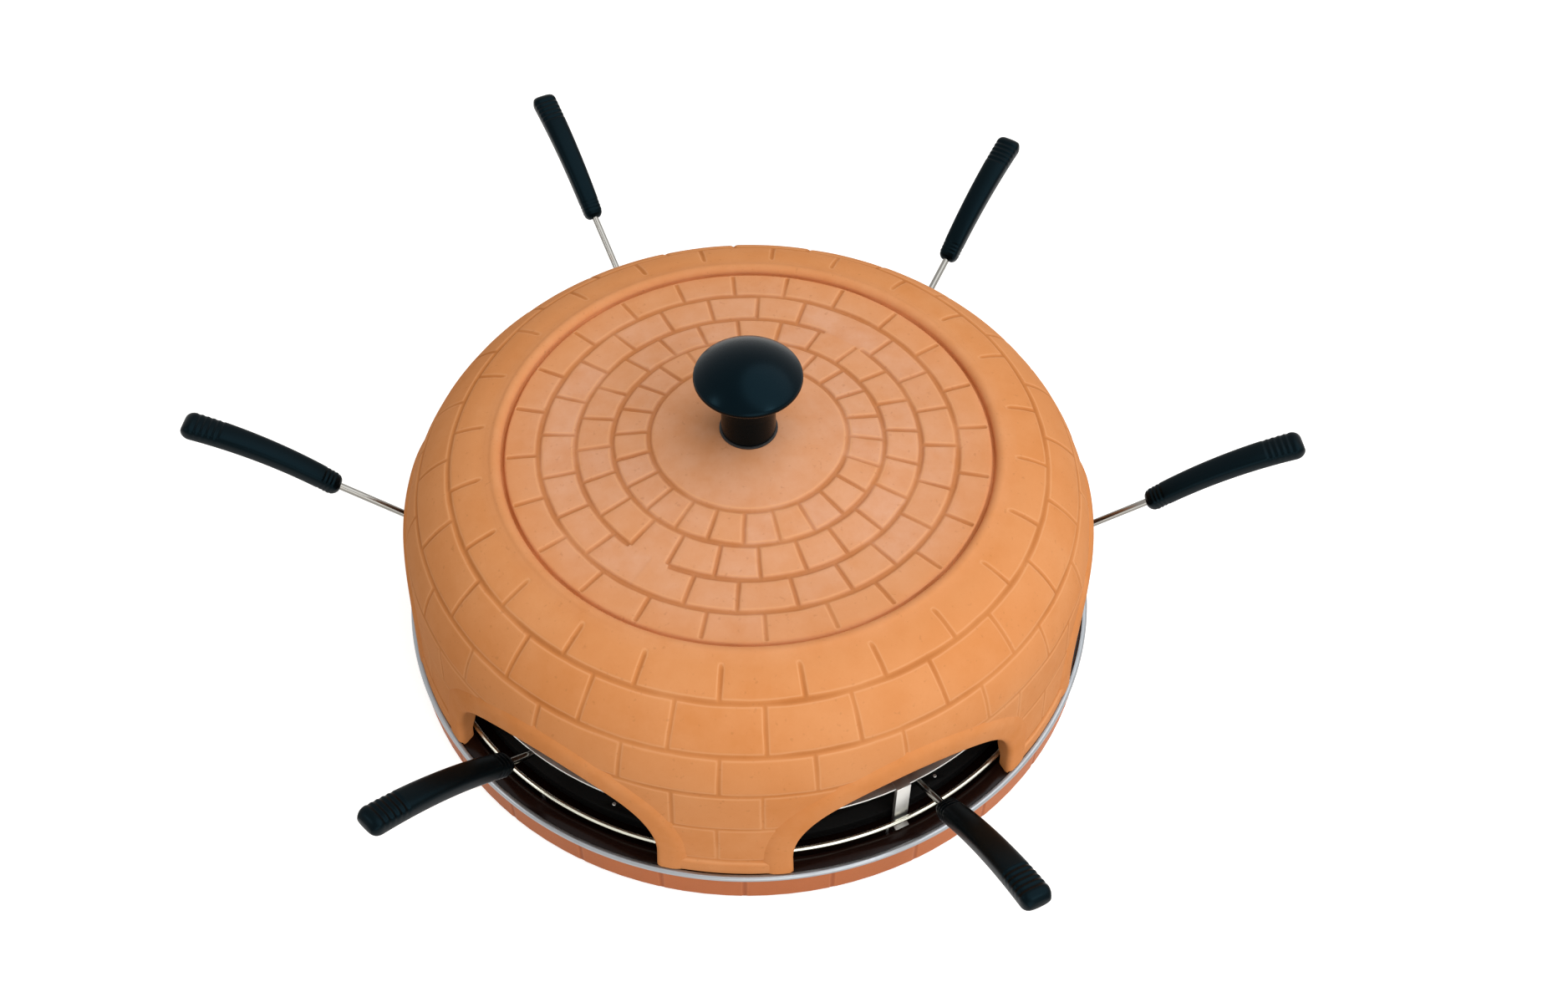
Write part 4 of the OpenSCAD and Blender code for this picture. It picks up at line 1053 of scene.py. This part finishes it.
# %% Press the joints into the drum
on_wall = np.zeros((len(drum_outer), 1))
on_wall[len(OUTER_FOOT) - 1:len(OUTER_FOOT) + len(WALL_ROWS) + 1] = 1
gaps = turn_gap(drum_az, joint_az)
gap = np.radians(gaps[np.arange(len(drum_az)), np.abs(gaps).argmin(1)]) * DRUM_R
spread = np.ones(skins[0].shape[:2])
store_skins(drum, skins[1], (gap > 0) * spread.astype(int), round_points(on_wall, drum_turn, 0.0),
            line_gap=FAR_AWAY * spread, line_depth=0 * spread, joint_gap=gap * spread,
            joint_depth=DRUM_DEPTH * on_wall * spread)
run_tree(drum, carving, "painted_band", SMOOTH_SHEET, **GROOVES, Wobble=0.3 * MM, Unevenness=0.0,
         Hand_swell=0.12 * MM, Fading=0.2, Full_depth=0.6 * MM)
settle(drum, "base", "painted_band", "base_drum")

# %% [markdown]
# ## Rings and knob
# The rim, the bright ring round the plate and the thin carrier ring are turned. The rim is rolled metal, so
# its outline is a rounded bar. The knob is a flat mushroom with a soft lower edge on a nearly straight
# neck; its outline is two arcs and some fillets.

# %% Rim, rings and knob
AROUND, KNOB_AROUND = 256, 144
RIM, CARRIER = (212.6, 216, 23, 25.5), (189, 195.5)
HOOP_R, HOOP_Z, HOOP_WIRE, HOOP_POINTS = 200.5, 28.5, 1.5, 24
RIM_SOFT, CARRIER_SOFT = (0.3, 0.3, 1.8, 0.6), (0.3, 0.3, 0.3, 0.3)


def bar(inner, outer, low, high, rounding, steps):
    corners = ((inner, low), (outer, low), (outer, high), (inner, high))
    return loop_fillet([(*corner, soft) for corner, soft in zip(corners, rounding)], steps)


low, high = (corner.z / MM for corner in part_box("carrier_ring"))
hoop = arc(HOOP_R, HOOP_Z, HOOP_WIRE, 0, 360 - 360 / HOOP_POINTS, HOOP_POINTS)
for name, node, finish, section in (
        ("rolled_rim", "rim_ring", "rim_steel", bar(*RIM, RIM_SOFT, 8)),
        ("plate_hoop", "plate_ring", "ring_steel", hoop),
        ("carrier_hoop", "carrier_ring", "bright_steel", bar(*CARRIER, low, high, CARRIER_SOFT, 4))):
    settle(turned(name, section, AROUND, finish), "base", finish, node)

KNOB_Z, CAP_Z, CAP_TOP = 166.0, 205.0, 222.0
CAP_IN, CAP_EDGE, CAP_BALL = 28.0, 3.0, 44.136
NECK = ((0, KNOB_Z, 0), (16, KNOB_Z, 0.4), (15.6, KNOB_Z + 18, 30), (16, CAP_Z, 2.5),
        (CAP_IN - 0.5, CAP_Z, 0))
edge_z, ball_z = CAP_Z + CAP_EDGE, CAP_TOP - CAP_BALL
meet = math.degrees(math.atan2(edge_z - ball_z, CAP_IN))
knob_outline = np.vstack([fillet(NECK, 8), arc(CAP_IN, edge_z, CAP_EDGE, -88, meet, 14),
                          arc(0, ball_z, CAP_BALL, meet + 2, 89, 22), [(0, CAP_TOP)]])
knob = turned_solid("knob_cap", knob_outline, KNOB_AROUND, "knob_black", SMOOTH_ROUND)
settle(knob, "dome", "knob_black", "knob")

# %% [markdown]
# ## Spatula handles
# Each handle is an arched bar of black plastic, wider towards its outer end, with a rounded nose, fine ribs
# at the nose and a ribbed thumb pad at the end. A rounded section is swept along the arc, and a node tree
# presses the ribs in by rule: first place, pitch, count and depth are its inputs. One handle is made and
# placed six times.

# %% Sweep one handle
GRIP_START, GRIP_RADIUS = (4.33, 64.5), 237.0
GRIP_SLOPE, GRIP_END_SLOPE = math.radians(39), math.radians(17)
GRIP_LENGTH = GRIP_RADIUS * (GRIP_SLOPE - GRIP_END_SLOPE)
GRIP_T, NOSE_W, TAIL_W = 12.5, 13.5, 17.5
HALF_T, END_NARROWING, THINNEST = GRIP_T / 2, 4.2, 0.02
GRIP_POINTS, GRIP_POWER, GRIP_STEP = 36, 2 / 3.8, 0.6
CROWN_ABOVE, CROWN_BELOW = 0.10, 0.18
RISE_SHARE, SIDE_SHARE = 0.8, 0.35
SIDE = np.array([0, 1, 0])
# Angles in degrees of the sections over a rounded end, and how far each end stops short
END_ANGLES, END_SHORT = np.linspace(89, 8, 9), 0.25
grip_centre = np.array([GRIP_START[0] + GRIP_RADIUS * math.sin(GRIP_SLOPE), 0,
                        GRIP_START[1] - GRIP_RADIUS * math.cos(GRIP_SLOPE)])


def rounded_section(half_width, half_height, power, count):
    """Points of a rounded oblong, across and up; a lower power makes it squarer."""
    angles = np.linspace(0, 2 * math.pi, count, endpoint=False)
    across, up = (np.sign(way) * np.abs(way) ** power for way in (np.cos(angles), np.sin(angles)))
    return half_width * across, half_height * up


def grip_ring(along):
    """One section of the handle; along runs from below 0 at the nose to above the length at the tail."""
    on_arc = np.clip(along, 0, GRIP_LENGTH)
    slope = GRIP_SLOPE - on_arc / GRIP_RADIUS
    ahead = np.array([math.cos(slope), 0, math.sin(slope)])
    up = np.array([-math.sin(slope), 0, math.cos(slope)])
    middle = grip_centre + GRIP_RADIUS * up + ahead * (along - on_arc)
    fullness = math.sqrt(max(1 - ((along - on_arc) / HALF_T) ** 2, 0))
    thick = HALF_T * max(fullness, THINNEST)
    width = (NOSE_W + (TAIL_W - NOSE_W) * on_arc / GRIP_LENGTH) / 2 - END_NARROWING * (1 - fullness)
    across, rise = rounded_section(width, thick, GRIP_POWER, GRIP_POINTS)
    crown = 1 - np.where(rise > 0, CROWN_ABOVE, CROWN_BELOW) * (across / width) ** 2
    ring = middle + across[:, None] * SIDE + (rise * crown)[:, None] * up
    ways = RISE_SHARE * (rise / thick)[:, None] * up + SIDE_SHARE * (across / width)[:, None] * SIDE
    return ring, ways, np.clip(rise / HALF_T, 0, 1)


caps = (HALF_T - END_SHORT) * np.sin(np.radians(END_ANGLES))
stations = np.concatenate([-caps, np.arange(0, GRIP_LENGTH + 0.1, GRIP_STEP), GRIP_LENGTH + caps[::-1]])
grip_rings, grip_ways, grip_upper = map(np.array, zip(*map(grip_ring, stations)))
grip_points, grip_faces = skin_rings(grip_rings)
grip_ways = np.vstack([grip_ways.reshape(-1, 3), np.zeros((2, 3))])
grip_upper = np.append(grip_upper, [0, 0])
grip_along = np.append(np.repeat(stations, GRIP_POINTS), stations[[0, -1]])
print("handle of", len(grip_points), "points")

# %% The rib tree
RIBS = {"First_rib": 8 * MM, "Rib_pitch": 3.6 * MM, "Rib_count": 5.0, "Rib_depth": 0.8 * MM,
        "First_nose_rib": 4.5 * MM, "Nose_pitch": 2.6 * MM, "Nose_count": 4.0, "Nose_depth": 0.5 * MM}
# Where the slope of a rib starts and ends, in shares of the pitch from its middle
RIB_FLAT, RIB_END = 0.12, 0.42
ribbing, given = new_tree("press ribs into a grip", **dict.fromkeys(RIBS, NUMBER))
calc, fit, _ = shorthand(ribbing)


def rib_rows(place, *labels):
    first, pitch, count, depth = (given[label] for label in labels)
    share = calc("DIVIDE", calc("SUBTRACT", read(ribbing, place), first), pitch)
    last = calc("SUBTRACT", count, 1.0)
    nearest = calc("MINIMUM", calc("MAXIMUM", calc("ROUND", share), 0.0), last)
    off = calc("ABSOLUTE", calc("SUBTRACT", share, nearest))
    return calc("MULTIPLY", fit(off, RIB_FLAT, RIB_END, 1.0, 0.0, "SMOOTHSTEP"), depth)


tail_ribs = rib_rows("from_tail", "First rib", "Rib pitch", "Rib count", "Rib depth")
nose_ribs = rib_rows("from_nose", "First nose rib", "Nose pitch", "Nose count", "Nose depth")
pressing = calc("ADD", calc("MULTIPLY", tail_ribs, read(ribbing, "upper")), nose_ribs)
close_tree(ribbing, given, pushed(ribbing, given, calc("MULTIPLY", pressing, -1.0)))
print("rib tree with", len(RIBS), "inputs")

# %% [markdown]
# ### Six spatulas in their arches
# Every spatula stands at its own angle and distance, as it was left on the table. The wire shaft lies flat
# on the blade, bends up through the arch and ends in the handle. It is swept as one rod whose section
# changes from a flat tongue to a round wire.

# %% Sweep one shaft
WALL_REF = 205.0
BLADE_X, BLADE_TOP = 106.2 - WALL_REF, 31.6
WIRE_R, WIRE_Z, WIRE_POINTS, BEND_R = 2.25, 33.85, 20, 14.0
SHAFT_SLOPE, GRIP_Z, SHAFT_IN = math.radians(30), 62.0, 19.0
TONGUE_L, TONGUE_W, TONGUE_T, TONGUE_ROUND = 28.0, 9.0, 1.5, 4
FLAT_POWER, NARROWEST = 0.45, 0.2
# From the blade's outer edge: where the fine steps stop, and where the flat tongue turns into round wire
FINE_STOP, BLEND_FROM, BLEND_TO = -8, -6, 9
# Number of fine steps, and the share of their stretch at the last one
FINE_STEPS, FINE_LAST = 14, 0.999
shaft_run = (GRIP_Z - WIRE_Z) / math.tan(SHAFT_SLOPE)
shaft_end = (SHAFT_IN * math.cos(SHAFT_SLOPE), GRIP_Z + SHAFT_IN * math.sin(SHAFT_SLOPE), 0)
path = fillet([(BLADE_X - TONGUE_L, WIRE_Z, 0), (BLADE_X + FINE_STOP, WIRE_Z, 0),
               (-shaft_run, WIRE_Z, BEND_R), shaft_end], 10)
fine = np.linspace(0, FINE_LAST, FINE_STEPS)[:, None]
path = np.vstack([path[0] + (path[1] - path[0]) * fine, path[1:]])
wire_rings = []
for (x, z), (ahead_x, ahead_z) in zip(path, map(unit, np.gradient(path, axis=0))):
    flat = 1 - soft_step(x, BLADE_X + BLEND_FROM, BLADE_X + BLEND_TO)
    half_w, half_t = WIRE_R + (TONGUE_W / 2 - WIRE_R) * flat, WIRE_R + (TONGUE_T / 2 - WIRE_R) * flat
    end = min((x - path[0, 0]) / TONGUE_ROUND, 1)
    half_w *= math.sqrt(max(1 - (1 - end) ** 2, NARROWEST))
    across, rise = rounded_section(half_w, half_t, 1 - FLAT_POWER * flat, WIRE_POINTS)
    middle_z = z + (BLADE_TOP + TONGUE_T / 2 - WIRE_Z) * flat
    wire_rings.append(np.column_stack([x - rise * ahead_z, across, middle_z + rise * ahead_x]))
wire_points, wire_faces = skin_rings(np.array(wire_rings))
print("shaft of", len(wire_rings), "rings")

# %% Place six handles and shafts
TURNS = (-6.3, -6.0, -8.6, 6.2, 10.3, 3.8)
PULLS = (6, 62, 118, 87, 51, 14)
YAWS = (-4.4, 2.4, 9.2, -5.4, -1.5, -4.6)


def in_arch(points, number):
    spot = math.radians(ARCH_FIRST + 180 - ARCH_STEP * number + TURNS[number])
    heading = spot + math.radians(YAWS[number])
    x, y, z = points[:, 0] + PULLS[number], points[:, 1], points[:, 2]
    return np.column_stack([WALL_REF * math.cos(spot) + x * math.cos(heading) - y * math.sin(heading),
                            WALL_REF * math.sin(spot) + x * math.sin(heading) + y * math.cos(heading), z])


for number in range(ARCHES):
    suffix = f"_{number + 1}"
    grip = new_piece("grip" + suffix, in_arch(grip_points, number), grip_faces, "handle_black", SMOOTH_ROUND)
    store(grip, from_tail=(GRIP_LENGTH + HALF_T - grip_along) * MM, from_nose=(grip_along + HALF_T) * MM,
          upper=grip_upper, way_out=in_arch(grip_ways, number) - in_arch(np.zeros((1, 3)), number))
    run_tree(grip, ribbing, "handle_black", SMOOTH_ROUND, **RIBS)
    settle(grip, "spatula" + suffix, "handle_black", "handle" + suffix)
    wire = new_piece("wire" + suffix, in_arch(wire_points, number), wire_faces, "shaft_steel", SMOOTH_ROUND)
    settle(wire, "spatula" + suffix, "shaft_steel", "shaft" + suffix)

# %% [markdown]
# ## Sheet metal and small parts
# Flat pieces such as the tray, the straps, the blades and the switch keep the shapes of the mechanical
# model. Their edges are too sharp for real metal and plastic, so each gets a merged copy with fine rounded
# edges. Round heads and legs that repeat are turned once and copied round the axis by the node tree.

# %% Rounded copies
FLAT_BELOW, ROUND_ABOVE = math.radians(1.5), math.radians(40)
# Width of the rounded edges in mm for each node; 0 leaves the edges as they are
ROUNDED = {"tray": 0.5, "baking_plate": 0.6, "bottom_cover": 0.25, "feed_strap": 0.25, "heater_legs": 0.25,
           "upper_clips": 0.2, "upper_heater": 0, "lower_heater": 0, "lower_clips": 0.2,
           "terminal_block": 0.4, "leads": 0, "feed_rods": 0,
           "switch_case": 0.35, "switch_rocker": 0.25, "switch_lens": 0.15,
           "cord_gland": 0.4, "gland_nut": 0.3, "knob_gasket": 0.2, "knob_washer": 0.25, "knob_screw": 0.4,
           **{f"blade_{number + 1}": 0.3 for number in range(ARCHES)}}
slot_of = {row["node"]: row["material_slot"] for row in frame["record"]["subparts"]}


def rounded_copy(node, rounding):
    """A copy of a CAD node with its flat faces merged and its sharp edges rounded."""
    piece = put(f"{node}_soft", frame["nodes"][node].data.copy())
    piece.data.name = piece.name
    piece.data.materials.clear()
    piece.data.materials.append(finishes[slot_of[node]])
    shape = bmesh.new()
    shape.from_mesh(piece.data)
    bmesh.ops.remove_doubles(shape, verts=shape.verts, dist=2 * MERGE)
    bmesh.ops.dissolve_limit(shape, angle_limit=FLAT_BELOW, verts=shape.verts, edges=shape.edges)
    shape.to_mesh(piece.data)
    shape.free()
    if rounding:
        modifier = piece.modifiers.new("soft edges", "BEVEL")
        modifier.width = rounding * MM
        modifier.segments = 2
        modifier.limit_method = "ANGLE"
        modifier.angle_limit = ROUND_ABOVE
        keep_result(piece)
    shade(piece.data, SMOOTH_SHEET)
    settle(piece, frame["nodes"][node]["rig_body"], slot_of[node], node)


for node, rounding in ROUNDED.items():
    rounded_copy(node, rounding)

# %% [markdown]
# ### Feet, screws, posts, rivets and legs
# Six of each stand in a circle. Each is turned once round its own axis, moved out to its circle and copied
# by the tree that copied the arch frames. The foot is a rubber ring, and the screw's head sits up inside it
# with a socket.

# %% Turned once, copied round
SMALL_AROUND = 32
# Outlines: distance from the piece's own axis, height, rounding
FOOT = ((3.7, 0, 0.3), (10, 0, 0.9), (10, 3.7, 0.3), (1.9, 3.7, 0), (1.9, 2.6, 0), (3.7, 2.6, 0))
SCREW = ((0, 2.2, 0), (1.3, 2.0, 0.1), (1.4, 1.2, 0.1), (3.0, 1.25, 0.3), (3.4, 2.0, 0.3), (3.4, 2.6, 0.1),
         (1.6, 2.6, 0.1), (1.6, 6.8, 0.2), (0, 7.1, 0))
POST = ((0, 13, 0), (4, 13, 0.4), (4, 15.2, 0.2), (3.4, 15.6, 0.2), (3.4, 24.8, 0.2), (4, 25.2, 0.2),
        (4, 27.4, 0.4), (0, 27.4, 0))
RIVET = ((0, 27.4, 0), (1.0, 27.4, 0), (1.0, 30, 0), (1.1, 30, 0), (0.9, 30.2, 0.1), (0, 30.25, 0))
LEG = ((0, 17, 0), (1.0, 17, 0), (1.0, 17.5, 0.2), (0.9, 18.2, 0.2), (0.9, 26.4, 0.3), (0.5, 26.9, 0.2),
       (0, 26.9, 0))
# Name, node, radius of the circle, first direction, how it is made, rounded outline
SMALL = (("foot_pads", "feet", 180.0, 30.0, turned, loop_fillet(FOOT, 4)),
         ("foot_screw_heads", "foot_screws", 180.0, 30.0, turned_solid, fillet(SCREW, 4)),
         ("post_pins", "plate_posts", 165.0, 30.0, turned_solid, fillet(POST, 4)),
         ("rivet_heads", "plate_rivets", 187.0, 246.6, turned_solid, fillet(RIVET, 3)),
         ("leg_wires", "ring_legs", HOOP_R, 294.5, turned_solid, fillet(LEG, 4)))
for name, node, circle, first, make, section in SMALL:
    piece = make(name, section, SMALL_AROUND, slot_of[node])
    piece.data.transform(Matrix.Translation((circle * MM, 0, 0)))
    settle(copied_round(piece, ARCHES, first, slot_of[node]), "base", slot_of[node], node)
